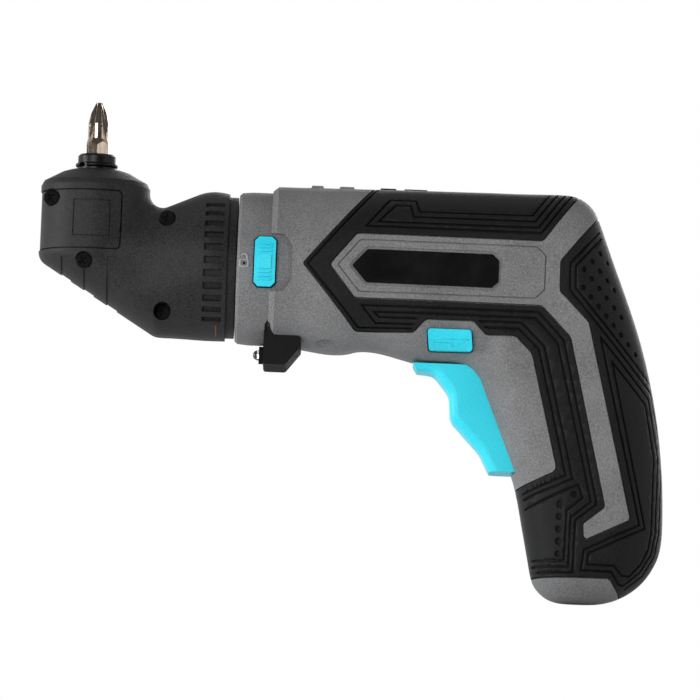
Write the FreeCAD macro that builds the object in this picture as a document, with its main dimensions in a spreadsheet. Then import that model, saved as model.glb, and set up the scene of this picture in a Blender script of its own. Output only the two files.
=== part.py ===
"""Right-angle electric screwdriver: pistol body, planetary drive and a bevel head that turns on the nose.

Millimetres. The pieces are drawn about the crossing of the motor axis (X) and the bit axis (Z),
then set down by the height of the bit tip, so that the tip is the origin.
"""
import FreeCAD, Part
import math
import os
import re
from types import SimpleNamespace

import Sketcher
from FreeCAD import Placement, Rotation, Vector

doc = FreeCAD.newDocument("ElectricScrewdriver")
sheet = doc.addObject("Spreadsheet::Sheet", "Sizes")

SIZES = {
    # Bit and its holder
    "tip_height": 46.0,
    "bit_length": 25.0,
    "hex_across": 6.35,
    "hex_play": 0.2,
    "bit_hex_length": 14.0,
    "flute_radius": 3.0,
    "point_radius": 1.0,
    "collar_radius": 5.45,
    "collar_top": 31.0,
    "ring_height": 27.8,
    "ring_wire": 1.2,
    "magnet_radius": 2.8,
    "magnet_length": 3.0,
    # Running and seating fits
    "run_play": 0.03,
    "part_gap": 0.3,
    "parting": 0.1,
    "seat_gap": 0.1,
    # Angle head
    "head_radius": 15.6,
    "head_top": 26.4,
    "head_rim": 21.4,
    "neck_radius": 21.0,
    "neck_start": 31.0,
    "head_rear": 38.6,
    "chin_radius": 22.0,
    "chin_round": 4.0,
    "cover_low": 2.5,
    "cover_high": 19.6,
    "cover_rear": 8.1,
    "cover_depth": 1.4,
    "cover_sunk": 0.3,
    "cover_gap": 0.35,
    "cover_line": 0.3,
    "band_depth": 0.3,
    "rib_pitch": 10.0,
    "rib_slot": 2.0,
    "rib_depth": 0.8,
    # Bevel pair
    "bevel_module": 1.0,
    "pinion_teeth": 12,
    "wheel_teeth": 16,
    "bevel_face": 3.5,
    "shaft_radius": 3.0,
    "stub_radius": 2.0,
    "foot_bush_radius": 4.0,
    "front_bush_radius": 6.0,
    "rear_bush_radius": 7.5,
    "spindle_bush_radius": 7.5,
    # Index ring between head and body
    "flange_radius": 20.2,
    "flange_width": 2.5,
    "spigot_radius": 17.2,
    "spigot_end": 54.0,
    "index_groove": 46.9,
    "index_groove_width": 2.4,
    "index_groove_depth": 1.6,
    "index_positions": 12,
    "notch_width": 3.2,
    "ring_bore": 9.0,
    # Planetary drive
    "gear_module": 0.6,
    "sun_teeth": 12,
    "planet_teeth": 15,
    "planet_width": 5.0,
    "planet_pin": 1.5,
    "box_radius": 15.6,
    "box_start": 56.0,
    "output_radius": 6.2,
    # Motor
    "motor_radius": 12.2,
    "motor_length": 32.0,
    "motor_shaft": 1.15,
    "motor_plate": 2.0,
    # Body outline
    "nose_front": 41.4,
    "nose_radius": 21.9,
    "shoulder_x": 52.5,
    "barrel_top": 23.6,
    "barrel_under": 22.9,
    "nose_half": 23.0,
    "barrel_half": 21.6,
    "heel_half": 19.8,
    "grip_half": 17.4,
    "nose_round": 21.5,
    "barrel_round": 17.0,
    "grip_round": 15.0,
    "heel_x": 141.2,
    "heel_z": 24.1,
    "heel_round": 10.0,
    "back_x": 165.4,
    "back_z": -36.6,
    "back_round": 175.0,
    "butt_z": -92.0,
    "butt_back_round": 19.8,
    "saddle_x": 86.0,
    "saddle_round": 10.0,
    "seat_x": 91.5,
    "seat_z": -25.4,
    "crotch_x": 109.8,
    "crotch_round": 9.0,
    "grip_front_x": 123.0,
    "grip_front_z": -59.0,
    "grip_front_round": 60.0,
    "butt_front_x": 129.9,
    "butt_front_round": 9.5,
    "wall": 3.6,
    "skin": 1.4,
    "rib_width": 2.0,
    "pad_half": 4.5,
    "pad_rise": 0.6,
    "dent_radius": 4.5,
    "dent_depth": 1.0,
    "seam_width": 0.4,
    "groove_depth": 0.45,
    "fine_width": 0.35,
    "step_width": 0.7,
    # Plate, screws and light
    "plate_half": 4.8,
    "plate_depth": 1.0,
    "bezel_half": 9.0,
    "screw_head": 2.5,
    "screw_boss": 3.4,
    "screw_hole": 1.2,
    "lamp_radius": 1.5,
    "lamp_z": -24.7,
    "lamp_half": 12.4,
    "lamp_front": 48.3,
    "lamp_back": 54.0,
    "lamp_stem": 56.0,
    # Controls
    "slider_front": 46.4,
    "slider_length": 6.0,
    "slider_half": 7.1,
    "slider_height": 2.2,
    "slider_base": 1.6,
    "slider_corner": 1.2,
    "slider_boss": 2.1,
    "rib_start": 3.0,
    "cap_rib_pitch": 1.05,
    "cap_rib_width": 0.5,
    "stem_half": 2.6,
    "tooth_length": 1.5,
    "slider_travel": 3.5,
    "trigger_half": 8.4,
    "trigger_round": 2.4,
    "trigger_travel": 4.0,
    "plunger_radius": 1.6,
    "plunger_rise": 16.0,
    "plunger_length": 11.1,
    "switch_wide": 5.0,
    "switch_high": 7.0,
    "switch_deep": 4.6,
    "button_front": 96.2,
    "button_length": 12.4,
    "button_skew": 0.7,
    "button_round": 0.9,
    "button_low": -22.8,
    "button_high": -17.0,
    "button_proud": 1.6,
    # Cell, board and socket
    "cell_radius": 9.2,
    "cell_length": 65.0,
    "cell_x": 144.5,
    "cell_z": -43.5,
    "cell_lean": 9.4,
    "board_z": -83.4,
    "board_thick": 1.4,
    "socket_x": 143.0,
    "socket_long": 8.9,
    "socket_thick": 3.2,
}
for row, (name, value) in enumerate(SIZES.items(), 1):
    sheet.set(f"A{row}", name)
    sheet.set(f"B{row}", str(value))
    sheet.setAlias(f"B{row}", name)
doc.recompute()
dim = SimpleNamespace(**{name: float(sheet.get(name)) for name in SIZES})

X = Vector(1, 0, 0)
Y = Vector(0, 1, 0)
Z = Vector(0, 0, 1)
ORIGIN = Vector(0, 0, 0)
pieces = []


# Naming and placing


def keep(piece, label):
    """Give a finished piece its name and set it down so that the bit tip is the origin."""
    piece.Label = label
    piece.setExpression("Placement.Base.z", f"{piece.Placement.Base.z} - Sizes.tip_height")
    pieces.append(piece)
    return piece


def formed(label, shape):
    """A piece whose form is worked out in code."""
    piece = doc.addObject("Part::Feature", label)
    piece.Shape = shape
    return keep(piece, label)


def bound(text):
    """A size formula with each name pointed at its cell."""
    return re.sub(r"\b(?!(?:sqrt|cos|sin|tan)\b)[a-z]\w*", r"Sizes.\g<0>", text)


def value_of(text):
    """A size formula worked out in a spare cell of the sheet."""
    sheet.set("D1", "=" + text)
    sheet.recompute()
    worked_out = float(sheet.get("D1"))
    sheet.clear("D1")
    return worked_out


# Sketched pieces


def sketched(body, corners, offset=None, plane="XZ_Plane"):
    """A closed sketch on an origin plane, each corner held by two formulas."""
    profile = body.newObject("Sketcher::SketchObject", body.Name + "_profile")
    support = next(f for f in body.Origin.OriginFeatures if f.Role == plane)
    profile.AttachmentSupport = (support, [""])
    profile.MapMode = "FlatFace"
    if offset:
        profile.setExpression("AttachmentOffset.Base.z", bound(offset))
    places = [Vector(value_of(u), value_of(v), 0) for u, v in corners]
    count = len(corners)
    for i in range(count):
        profile.addGeometry(Part.LineSegment(places[i], places[(i + 1) % count]))
    for i in range(count):
        profile.addConstraint(Sketcher.Constraint("Coincident", i, 2, (i + 1) % count, 1))
    for i, (u, v) in enumerate(corners):
        across = profile.addConstraint(Sketcher.Constraint("DistanceX", i, 1, places[i].x))
        profile.setExpression(f"Constraints[{across}]", bound(u))
        up = profile.addConstraint(Sketcher.Constraint("DistanceY", i, 1, places[i].y))
        profile.setExpression(f"Constraints[{up}]", bound(v))
    return profile


def turned(label, axis, corners):
    """A piece turned about X or Z from corners (place along the axis, radius)."""
    body = doc.addObject("PartDesign::Body", label)
    flat = corners if axis == "X" else [(radius, place) for place, radius in corners]
    profile = sketched(body, flat)
    turn = body.newObject("PartDesign::Revolution", label + "_turn")
    turn.Profile = profile
    turn.ReferenceAxis = (profile, ["H_Axis" if axis == "X" else "V_Axis"])
    turn.Angle = 360
    doc.recompute()
    return keep(body, label)


def sleeve(label, axis, start, end, inner, outer):
    """A plain bush or tube."""
    return turned(label, axis, [(start, inner), (start, outer), (end, outer), (end, inner)])


# Soft outlines


def soft_path(corners):
    """Corners (x, z, round) as straight and tangent-arc stretches: start, end, centre, length."""
    points = [Vector(x, 0, z) for x, z, _ in corners]
    path = []
    here = points[0]
    for before, corner, after, (_, _, radius) in zip(points, points[1:], points[2:], corners[1:]):
        back = (before - corner).normalize()
        ahead = (after - corner).normalize()
        half = back.getAngle(ahead) / 2
        start = corner + back * (radius / math.tan(half))
        end = corner + ahead * (radius / math.tan(half))
        centre = corner + (back + ahead).normalize() * (radius / math.sin(half))
        path.append((here, start, None, (start - here).Length))
        if radius:
            path.append((start, end, centre, radius * (math.pi - 2 * half)))
        here = end
    path.append((here, points[-1], None, (points[-1] - here).Length))
    return path


def along(path, distance):
    """The point a distance along a soft path."""
    for start, end, centre, length in path:
        if distance <= length:
            share = distance / length
            if centre is None:
                return start + (end - start) * share
            first = start - centre
            last = end - centre
            angle = first.getAngle(last)
            swing = first * math.sin(angle * (1 - share)) + last * math.sin(angle * share)
            return centre + swing * (1 / math.sin(angle))
        distance -= length
    return path[-1][1]


def reach(path, count):
    """The length of a path's first stretches."""
    return sum(length for _, _, _, length in path[:count])


def closed_curves(corners, flat=False):
    """The lines and arcs round an outline of corners (x, z, round), in the XZ plane or laid flat."""
    start = ((corners[0][0] + corners[-1][0]) / 2, (corners[0][1] + corners[-1][1]) / 2, 0)
    curves = []
    for first, last, centre, length in soft_path([start] + list(corners) + [start]):
        if length < 1e-6:
            continue
        places = [first, last]
        if centre is not None:
            radius = (first - centre).Length
            places.insert(1, centre + ((first + last) * 0.5 - centre).normalize() * radius)
        if flat:
            places = [Vector(place.x, place.z, 0) for place in places]
        curves.append(Part.LineSegment(*places) if centre is None else Part.Arc(*places))
    return curves


def outline(corners):
    """A face in the XZ plane from corners (x, z, round)."""
    return Part.Face(Part.Wire([curve.toShape() for curve in closed_curves(corners)]))


def through(corners, half=40.0):
    """An outline run through the whole width."""
    face = outline(corners)
    face.translate(Y * half)
    return face.extrude(Y * (-2 * half))


def left_of(shape):
    """The half of a form on the left of the parting line."""
    room = Part.makeBox(400, 100 - dim.parting / 2, 400, Vector(-100, -100, -200))
    return shape.common(room)


def mirrored(shape):
    return shape.mirror(ORIGIN, Y)


def rod(axis, start, end, radius, x=0.0, y=0.0, z=0.0):
    """A plain cylinder between two places on X, Y or Z."""
    base = Vector(x, y, z) + axis * start
    return Part.makeCylinder(radius, end - start, base, axis)


def block(x0, x1, y0, y1, z0, z1):
    return Part.makeBox(x1 - x0, y1 - y0, z1 - z0, Vector(x0, y0, z0))


def section(outer, inner, half, corner_round, inset):
    """A rounded rectangle standing between two points of the side view, set in all round."""
    up = (outer - inner).normalize()
    centre = (outer + inner) * 0.5
    high = (outer - inner).Length / 2 - inset
    wide = half - inset
    radius = max(min(corner_round - inset, wide - 0.4, high - 0.4), 0.3)
    bulge = radius * (1 - math.sqrt(0.5))
    arcs = []
    for side, rise in ((1, 1), (-1, 1), (-1, -1), (1, -1)):
        flank = centre + Y * (side * wide) + up * (rise * (high - radius))
        crown = centre + Y * (side * (wide - radius)) + up * (rise * high)
        middle = centre + Y * (side * (wide - bulge)) + up * (rise * (high - bulge))
        arcs.append((flank, middle, crown) if side == rise else (crown, middle, flank))
    edges = []
    for i, (first, middle, last) in enumerate(arcs):
        edges.append(Part.Arc(first, middle, last).toShape())
        edges.append(Part.LineSegment(last, arcs[(i + 1) % 4][0]).toShape())
    return Part.Wire(edges)


def skinned(sections):
    """A smooth solid through sections."""
    return Part.makeLoft(sections, True, False, False, 2)


# Body form: sections stand between the top-and-back line and the under-and-front line

TOP_LINE = soft_path([
    (dim.shoulder_x, dim.barrel_top, 0),
    (dim.heel_x, dim.heel_z, dim.heel_round),
    (dim.back_x, dim.back_z, dim.back_round),
    (dim.back_x, dim.butt_z, dim.butt_back_round),
    (dim.socket_x, dim.butt_z, 0),
])
UNDER_LINE = soft_path([
    (dim.shoulder_x, -dim.barrel_under, 0),
    (dim.saddle_x, -dim.barrel_under, dim.saddle_round),
    (dim.seat_x, dim.seat_z, dim.saddle_round),
    (dim.crotch_x, dim.seat_z, dim.crotch_round),
    (dim.grip_front_x, dim.grip_front_z, dim.grip_front_round),
    (dim.butt_front_x, dim.butt_z, dim.butt_front_round),
    (dim.socket_x, dim.butt_z, 0),
])
rear_half = (dim.barrel_half + dim.heel_half) / 2
palm_half = (dim.heel_half + dim.grip_half) / 2
# Distance on each line, half width, corner round and number of steps from the stop before
STOPS = [
    (0, 0, dim.nose_half, dim.nose_round, 0),
    (44, 44, dim.barrel_half, dim.barrel_round, 4),
    (reach(TOP_LINE, 1), reach(UNDER_LINE, 5), rear_half, dim.barrel_round - 1.5, 4),
    (reach(TOP_LINE, 2), reach(UNDER_LINE, 6) + 2, dim.heel_half, dim.grip_round, 5),
    (reach(TOP_LINE, 3) + 35, reach(UNDER_LINE, 7) + 3, palm_half, dim.grip_round, 5),
    (reach(TOP_LINE, 5), reach(UNDER_LINE, 9) - 6, dim.grip_half, dim.grip_round, 4),
    (reach(TOP_LINE, 6), reach(UNDER_LINE, 10), dim.grip_half, dim.grip_round, 7),
]


def body_stations():
    """The sections' places; over the butt the width closes in like a ball."""
    stations = []
    for number, (here, there) in enumerate(zip(STOPS, STOPS[1:]), 1):
        closing = number == len(STOPS) - 1
        steps = there[4]
        for step in range(steps + closing):
            share = step / steps
            top, under, half, corner = (a + (b - a) * share for a, b in zip(here[:4], there[:4]))
            shrink = math.sqrt(1 - (0.97 * share) ** 2) if closing else 1
            stations.append((top, under, half * shrink, corner * shrink))
    return stations


STATIONS = body_stations()


def body_form(inset, leave=0):
    """The body set in by a depth, without its last sections where it closes inside the butt."""
    used = STATIONS[:len(STATIONS) - leave]
    return skinned([
        section(along(TOP_LINE, top), along(UNDER_LINE, under), half, corner, inset)
        for top, under, half, corner in used
    ])


def nose_form():
    """The round nose and the slope up to the barrel's shoulder."""
    nose = [
        (dim.nose_front, 0),
        (dim.nose_front, dim.nose_radius - 1),
        (dim.nose_front + 0.8, dim.nose_radius - 0.3),
        (dim.nose_front + 4, dim.nose_radius),
        (dim.shoulder_x + 1, dim.nose_radius),
        (dim.shoulder_x + 1, 0),
    ]
    face = Part.Face(Part.makePolygon([Vector(x, 0, r) for x, r in nose + nose[:1]]))
    turned_nose = face.revolve(ORIGIN, X, 360)
    shoulder = []
    for back, inset in ((1.6, 1.3), (0, 0)):
        x = dim.shoulder_x - back
        top = Vector(x, 0, dim.barrel_top)
        under = Vector(x, 0, -dim.barrel_under)
        shoulder.append(section(top, under, dim.nose_half, dim.nose_round, inset))
    return turned_nose, Part.makeLoft(shoulder, True, True)


# Soft grip outline in the side view, its stripe and the bezel round the plate

GRIP_EDGE = [
    (60.0, 0.0, 1.0),
    (82.4, 27.0, 0),
    (180.0, 27.0, 0),
    (180.0, -100.0, 0),
    (160.3, -100.0, 0),
    (150.4, -85.8, 1.5),
    (129.4, -86.0, 0),
    (115.0, -86.0, 0),
    (115.0, -64.4, 0),
    (134.3, -55.7, 2.0),
    (126.0, -22.9, 4.0),
    (121.2, -18.3, 2.0),
    (112.9, -18.3, 2.0),
    (109.1, -14.6, 2.0),
    (95.7, -14.6, 2.0),
    (92.3, -18.3, 2.0),
    (75.6, -18.3, 2.0),
]
STRIPE_EDGE = [
    (68.0, 0.0, 1.0),
    (75.3, dim.bezel_half, 1.5),
    (128.1, dim.bezel_half, 2.0),
    (142.4, 29.0, 0),
    (152.8, 29.0, 0),
    (133.1, 3.9, 2.0),
    (133.2, -4.8, 2.0),
    (141.8, -13.4, 3.0),
    (155.6, -68.8, 1.0),
    (142.9, -75.0, 0.8),
    (142.5, -70.6, 0.8),
    (148.6, -65.6, 1.5),
    (137.0, -17.6, 3.0),
    (128.5, -dim.bezel_half, 2.0),
    (75.3, -dim.bezel_half, 1.5),
]
PLATE_EDGE = [
    (74.1, 0.0, 0.5),
    (78.4, dim.plate_half, 1.0),
    (114.0, dim.plate_half, 0.5),
    (115.8, dim.plate_half - 1.8, 0.5),
    (115.8, -dim.plate_half + 1.8, 0.5),
    (114.0, -dim.plate_half, 0.5),
    (78.4, -dim.plate_half, 1.0),
]
LAMP_EDGE = [
    (49.8, -16.6, 0),
    (51.6, -16.8, 0),
    (53.5, -19.8, 0.5),
    (60.3, -19.8, 0.8),
    (60.5, -22.7, 1.0),
    (56.2, -28.2, 1.2),
    (49.8, -28.2, 0.8),
]
TRIGGER_EDGE = [
    (92.6, dim.seat_z - dim.part_gap, 0),
    (93.8, -27.9, 0),
    (98.6, -28.3, 4.0),
    (103.3, -34.0, 6.0),
    (103.8, -41.2, 4.0),
    (112.4, -50.2, 9.0),
    (115.4, -55.9, 0),
    (dim.grip_front_x + 2.3, -55.9, 0),
    (dim.crotch_x + 6, dim.seat_z - dim.part_gap, 0),
]


def spread(corners, by):
    """An outline grown or shrunk by a gap all round."""
    face = outline(corners)
    wire = face.OuterWire.makeOffset2D(by)
    return Part.Face(wire)


def through_face(face, half=40.0):
    moved = face.copy()
    moved.translate(Y * half)
    return moved.extrude(Y * (-2 * half))


BEZEL_LINE = [
    (70.1, 0.0, 0.6),
    (76.4, 7.4, 1.2),
    (126.5, 7.4, 1.2),
    (129.0, 5.0, 1.0),
    (129.0, -4.5, 1.0),
    (126.5, -7.2, 1.2),
    (76.4, -7.4, 1.2),
]


def sunk(faces, floor):
    """Tools that sink faces of the side view into the left flank, down to a floor."""
    joined = faces[0].fuse(faces[1:]).removeSplitter()
    prisms = [face.extrude(Y * -40) for face in joined.Faces]
    return Part.makeCompound(prisms).cut(floor)


body_outer_form = body_form(0)
skin_form = body_form(dim.skin)
groove_floor = body_form(dim.groove_depth)
grip_face = outline(GRIP_EDGE).cut(outline(STRIPE_EDGE))
grip_room = through_face(grip_face).cut(skin_form)
body_left = left_of(body_outer_form)
inner_face = spread(GRIP_EDGE, -dim.seam_width).cut(spread(STRIPE_EDGE, dim.seam_width))
grip_left_shape = body_left.common(through_face(inner_face).cut(skin_form))


def pad(start, end):
    """A low pad on the top of the barrel, beside the parting line, with sloping ends."""
    face = outline([
        (start - 0.6, dim.barrel_top - 1.0, 0),
        (start, dim.barrel_top + dim.pad_rise, 0),
        (end, dim.barrel_top + dim.pad_rise, 0),
        (end + 0.6, dim.barrel_top - 1.0, 0),
    ])
    face.translate(Y * (-dim.parting / 2))
    return face.extrude(Y * (dim.parting / 2 - dim.pad_half))


grip_left_shape = grip_left_shape.fuse([pad(81.5, 85.8), pad(88.3, 94.7)])
formed("grip_left", grip_left_shape)
formed("grip_right", mirrored(grip_left_shape))

# Housing: hollow halves with ribs round the drive and bosses for the screws

out_disc = dim.box_start + 4.4
stage_two = out_disc + 3.4
disc_one = stage_two + dim.planet_width + 0.4
stage_one = disc_one + 2.9
box_end = stage_one + dim.planet_width + 0.5
motor_start = box_end + dim.motor_plate
motor_end = motor_start + dim.motor_length

SCREWS = [
    (84.0, 18.3),
    (84.0, -17.8),
    (114.0, 17.0),
    (139.5, 13.5),
    (155.5, -28.0),
    (131.8, -66.0),
    (155.0, -81.0),
]
RIBS = [
    (dim.box_start + 2, dim.box_radius + dim.seat_gap),
    (box_end - 2, dim.box_radius + dim.seat_gap),
    (motor_start + 10, dim.motor_radius + dim.seat_gap),
    (motor_end - 4, dim.motor_radius + dim.seat_gap),
]
slider_rear = dim.slider_front + dim.slider_length
SLIDER_EDGE = [
    (dim.slider_front, dim.slider_half - dim.slider_corner, 0),
    (dim.slider_front + dim.slider_corner, dim.slider_half, 0),
    (slider_rear - dim.slider_corner, dim.slider_half, 0),
    (slider_rear, dim.slider_half - dim.slider_corner, 0),
    (slider_rear, -dim.slider_half + dim.slider_corner, 0),
    (slider_rear - dim.slider_corner, -dim.slider_half, 0),
    (dim.slider_front + dim.slider_corner, -dim.slider_half, 0),
    (dim.slider_front, -dim.slider_half + dim.slider_corner, 0),
]
slider_back = slider_rear + dim.slider_travel
RECESS_EDGE = [
    (dim.shoulder_x - 4, dim.slider_half + 1.4, 0),
    (slider_back - 1.0, dim.slider_half + 0.9, 0.6),
    (slider_back + 1.2, dim.slider_half - 2.4, 0.6),
    (slider_back + 1.2, -dim.slider_half + 2.4, 0.6),
    (slider_back - 1.0, -dim.slider_half - 0.9, 0.6),
    (dim.shoulder_x - 4, -dim.slider_half - 1.4, 0),
]
nose_bore = dim.spigot_radius + dim.part_gap
tooth_front = dim.index_groove + (dim.index_groove_width - dim.tooth_length) / 2
tooth_rear = tooth_front + dim.tooth_length
tooth_half = dim.notch_width / 2 - dim.part_gap
lamp_seat = dim.nose_radius + 0.3
button_end = dim.button_front + dim.button_length

cavity = body_form(dim.wall, 4)
kept_solid = []
for place, radius in RIBS:
    rib = block(place - dim.rib_width / 2, place + dim.rib_width / 2, -40, 40, -21, 40)
    kept_solid.append(rib.cut(rod(X, place - 5, place + 5, radius)))
for x, z in SCREWS:
    kept_solid.append(rod(Y, -40, 40, dim.screw_boss, x=x, z=z))
cavity = cavity.cut(kept_solid)

nose, shoulder = nose_form()
plate_room = through(PLATE_EDGE).cut(body_form(dim.plate_depth))
lamp_room = through(LAMP_EDGE, dim.lamp_half + dim.seat_gap).cut(rod(X, 40, 70, lamp_seat))
trigger_gap = dim.trigger_half + dim.part_gap
trigger_room = [
    (dim.seat_x - 4, dim.seat_z - 0.05, 0),
    (dim.crotch_x + 12, dim.seat_z - 0.05, 0),
    (dim.grip_front_x + 11, dim.grip_front_z + 2.8, 0),
    (dim.seat_x - 4, dim.grip_front_z + 2.8, 0),
]
BUTTON_EDGE = [
    (dim.button_front, dim.button_high, dim.button_round),
    (button_end, dim.button_high, dim.button_round),
    (button_end + dim.button_skew, dim.button_low, dim.button_round),
    (dim.button_front + dim.button_skew, dim.button_low, dim.button_round),
]
button_room = through_face(spread(BUTTON_EDGE, dim.part_gap))
socket_room = block(
    dim.socket_x - dim.socket_long / 2 - dim.seat_gap,
    dim.socket_x + dim.socket_long / 2 + dim.seat_gap,
    -dim.socket_thick / 2 - dim.seat_gap,
    dim.socket_thick / 2 + dim.seat_gap,
    dim.butt_z - 5,
    dim.board_z + 4,
)
rooms = [
    rod(X, 30, dim.spigot_end + 0.8, nose_bore),
    plate_room,
    lamp_room,
    rod(Z, -30, -15, dim.screw_boss + dim.seat_gap, x=dim.lamp_stem),
    through(trigger_room, trigger_gap),
    button_room,
    socket_room,
]
for x, z in SCREWS:
    rooms.append(rod(Y, -8, 8, dim.screw_hole, x=x, z=z))
shell = left_of(body_outer_form.fuse([nose, shoulder])).cut(grip_room).cut(cavity).cut(rooms)
bezel_ring = spread(BEZEL_LINE, dim.fine_width / 2).cut(spread(BEZEL_LINE, -dim.fine_width / 2))
plate_step = spread(PLATE_EDGE, dim.step_width).cut(outline(PLATE_EDGE))
dent_normal = Vector(0, -0.37, -0.93)
dent_centre = Vector(67.5, -9.85, -21.5) + dent_normal * (dim.dent_radius - dim.dent_depth)
dent = Part.makeSphere(dim.dent_radius, dent_centre)
shell = shell.cut(sunk(bezel_ring.Faces + plate_step.Faces, groove_floor)).cut(dent)
shell = shell.fuse([pad(61.9, 65.0), pad(69.9, 73.8)])
slider_room = through(RECESS_EDGE).cut(rod(X, 30, 90, dim.nose_radius + 0.05))
stem_room = block(
    tooth_front - dim.seat_gap,
    tooth_rear + dim.slider_travel + dim.seat_gap,
    -40,
    -10,
    -dim.stem_half - dim.seat_gap,
    dim.stem_half + dim.seat_gap,
)
formed("housing_left", shell.cut([slider_room, stem_room]))
heads = [rod(Y, 7, 40, dim.screw_head, x=x, z=z) for x, z in SCREWS]
formed("housing_right", mirrored(shell).cut(heads))

plate = left_of(body_outer_form).common(through_face(spread(PLATE_EDGE, -dim.seat_gap)))
plate = plate.cut(body_form(dim.plate_depth))
formed("nameplate_left", plate)
formed("nameplate_right", mirrored(plate))

# Lamp under the nose: a saddle-shaped holder on a stem, and a clear domed lamp

holder = through(LAMP_EDGE, dim.lamp_half).cut(rod(X, 40, 70, lamp_seat + dim.seat_gap))
stem = rod(Z, -24.5, -18, dim.screw_boss, x=dim.lamp_stem)
lamp_boss = rod(X, dim.lamp_front + 0.2, 51, dim.lamp_radius + 1.0, z=dim.lamp_z)
lamp_hole = rod(X, 40, dim.lamp_back, dim.lamp_radius + dim.run_play, z=dim.lamp_z)
formed("lamp_holder", holder.fuse([stem, lamp_boss]).cut(lamp_hole).removeSplitter())
lamp_dome = Part.makeSphere(dim.lamp_radius, Vector(dim.lamp_front, 0, dim.lamp_z))
lamp_body = rod(X, dim.lamp_front, dim.lamp_back, dim.lamp_radius, z=dim.lamp_z)
formed("lamp", lamp_body.fuse(lamp_dome).removeSplitter())

# Lock slider: a ribbed cap on the nose, a stem through the slot and a tooth in the index groove

cap_floor = dim.nose_radius + 0.2
cap_base = rod(X, 30, 70, cap_floor + dim.slider_base - 0.2)
cap_top = rod(X, 30, 70, dim.nose_radius + dim.slider_height)
raised = [block(
    dim.slider_front + dim.slider_corner,
    slider_rear - dim.slider_corner,
    -40,
    -10,
    -dim.slider_boss,
    dim.slider_boss,
)]
for step in range(3):
    for side in (-1, 1):
        z = side * (dim.rib_start + step * dim.cap_rib_pitch)
        raised.append(block(
            dim.slider_front + dim.slider_corner,
            slider_rear - dim.slider_corner,
            -40,
            -10,
            z - dim.cap_rib_width / 2,
            z + dim.cap_rib_width / 2,
        ))
cap = left_of(through(SLIDER_EDGE)).common(cap_base)
cap = cap.fuse([piece.common(cap_top) for piece in raised]).cut(rod(X, 30, 70, cap_floor))
stem_top = dim.nose_radius + 0.6
stem = block(tooth_front, tooth_rear, -stem_top, -dim.spigot_radius, -dim.stem_half, dim.stem_half)
tooth_floor = dim.spigot_radius - dim.index_groove_depth + dim.part_gap
tooth = block(tooth_front, tooth_rear, -dim.spigot_radius - 1, -tooth_floor, -tooth_half, tooth_half)
formed("lock_slider", cap.fuse([stem, tooth]).removeSplitter())

# Direction bar: one bar across the body, its ends shaped to the flanks and a little proud of them

formed("direction_bar", through(BUTTON_EDGE).common(body_form(-dim.button_proud, 12)))

# Trigger: a padded blade with rounded front edges, on a plunger that runs in the switch

blade = doc.addObject("PartDesign::Body", "trigger_blade")
blade_sketch = blade.newObject("Sketcher::SketchObject", "trigger_outline")
side_plane = next(f for f in blade.Origin.OriginFeatures if f.Role == "XZ_Plane")
blade_sketch.AttachmentSupport = (side_plane, [""])
blade_sketch.MapMode = "FlatFace"
for number, curve in enumerate(closed_curves(TRIGGER_EDGE, flat=True)):
    blade_sketch.addGeometry(curve)
    blade_sketch.addConstraint(Sketcher.Constraint("Block", number))
blade_pad = blade.newObject("PartDesign::Pad", "trigger_pad")
blade_pad.Profile = blade_sketch
blade_pad.setExpression("Length", bound("2 * trigger_half"))
blade_pad.Midplane = True
doc.recompute()
front_edges = []
for number, edge in enumerate(blade_pad.Shape.Edges, 1):
    room = edge.BoundBox
    on_flank = room.YLength < 1e-3
    below_seat = room.ZMax < dim.seat_z - 2 * dim.part_gap
    if on_flank and below_seat and room.ZLength > 0.1:
        front_edges.append(f"Edge{number}")
blade_round = blade.newObject("PartDesign::Fillet", "trigger_rounding")
blade_round.Base = (blade_pad, front_edges)
blade_round.setExpression("Radius", bound("trigger_round"))
blade.Tip = blade_round
doc.recompute()
plunger_z = dim.grip_front_z + dim.plunger_rise
plunger_start = dim.crotch_x + 8
plunger_end = plunger_start + dim.plunger_length
plunger_hole = doc.addObject("Part::Cylinder", "plunger_hole")
plunger_hole.setExpression("Radius", bound("plunger_radius"))
plunger_hole.Height = 20
plunger_hole.Placement = Placement(Vector(plunger_start, 0, plunger_z), Rotation(Y, 90))
drilled = doc.addObject("Part::Cut", "trigger")
drilled.Base = blade
drilled.Tool = plunger_hole
keep(drilled, "trigger")
plunger = turned("switch_plunger", "X", [
    (f"{plunger_start}", "0"),
    (f"{plunger_start}", "plunger_radius"),
    (f"{plunger_end}", "plunger_radius"),
    (f"{plunger_end}", "0"),
])
plunger.setExpression("Placement.Base.z", f"{plunger_z} - Sizes.tip_height")
switch_front = plunger_end - dim.part_gap
switch = block(
    switch_front,
    switch_front + dim.switch_deep,
    -dim.switch_wide,
    dim.switch_wide,
    plunger_z - dim.switch_high,
    plunger_z + dim.switch_high,
)
bore_end = plunger_end + dim.trigger_travel + dim.seat_gap
switch_bore = rod(X, switch_front - 1, bore_end, dim.plunger_radius + dim.run_play, z=plunger_z)
formed("trigger_switch", switch.cut(switch_bore))

# Cell, board and charging socket in the grip

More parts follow.
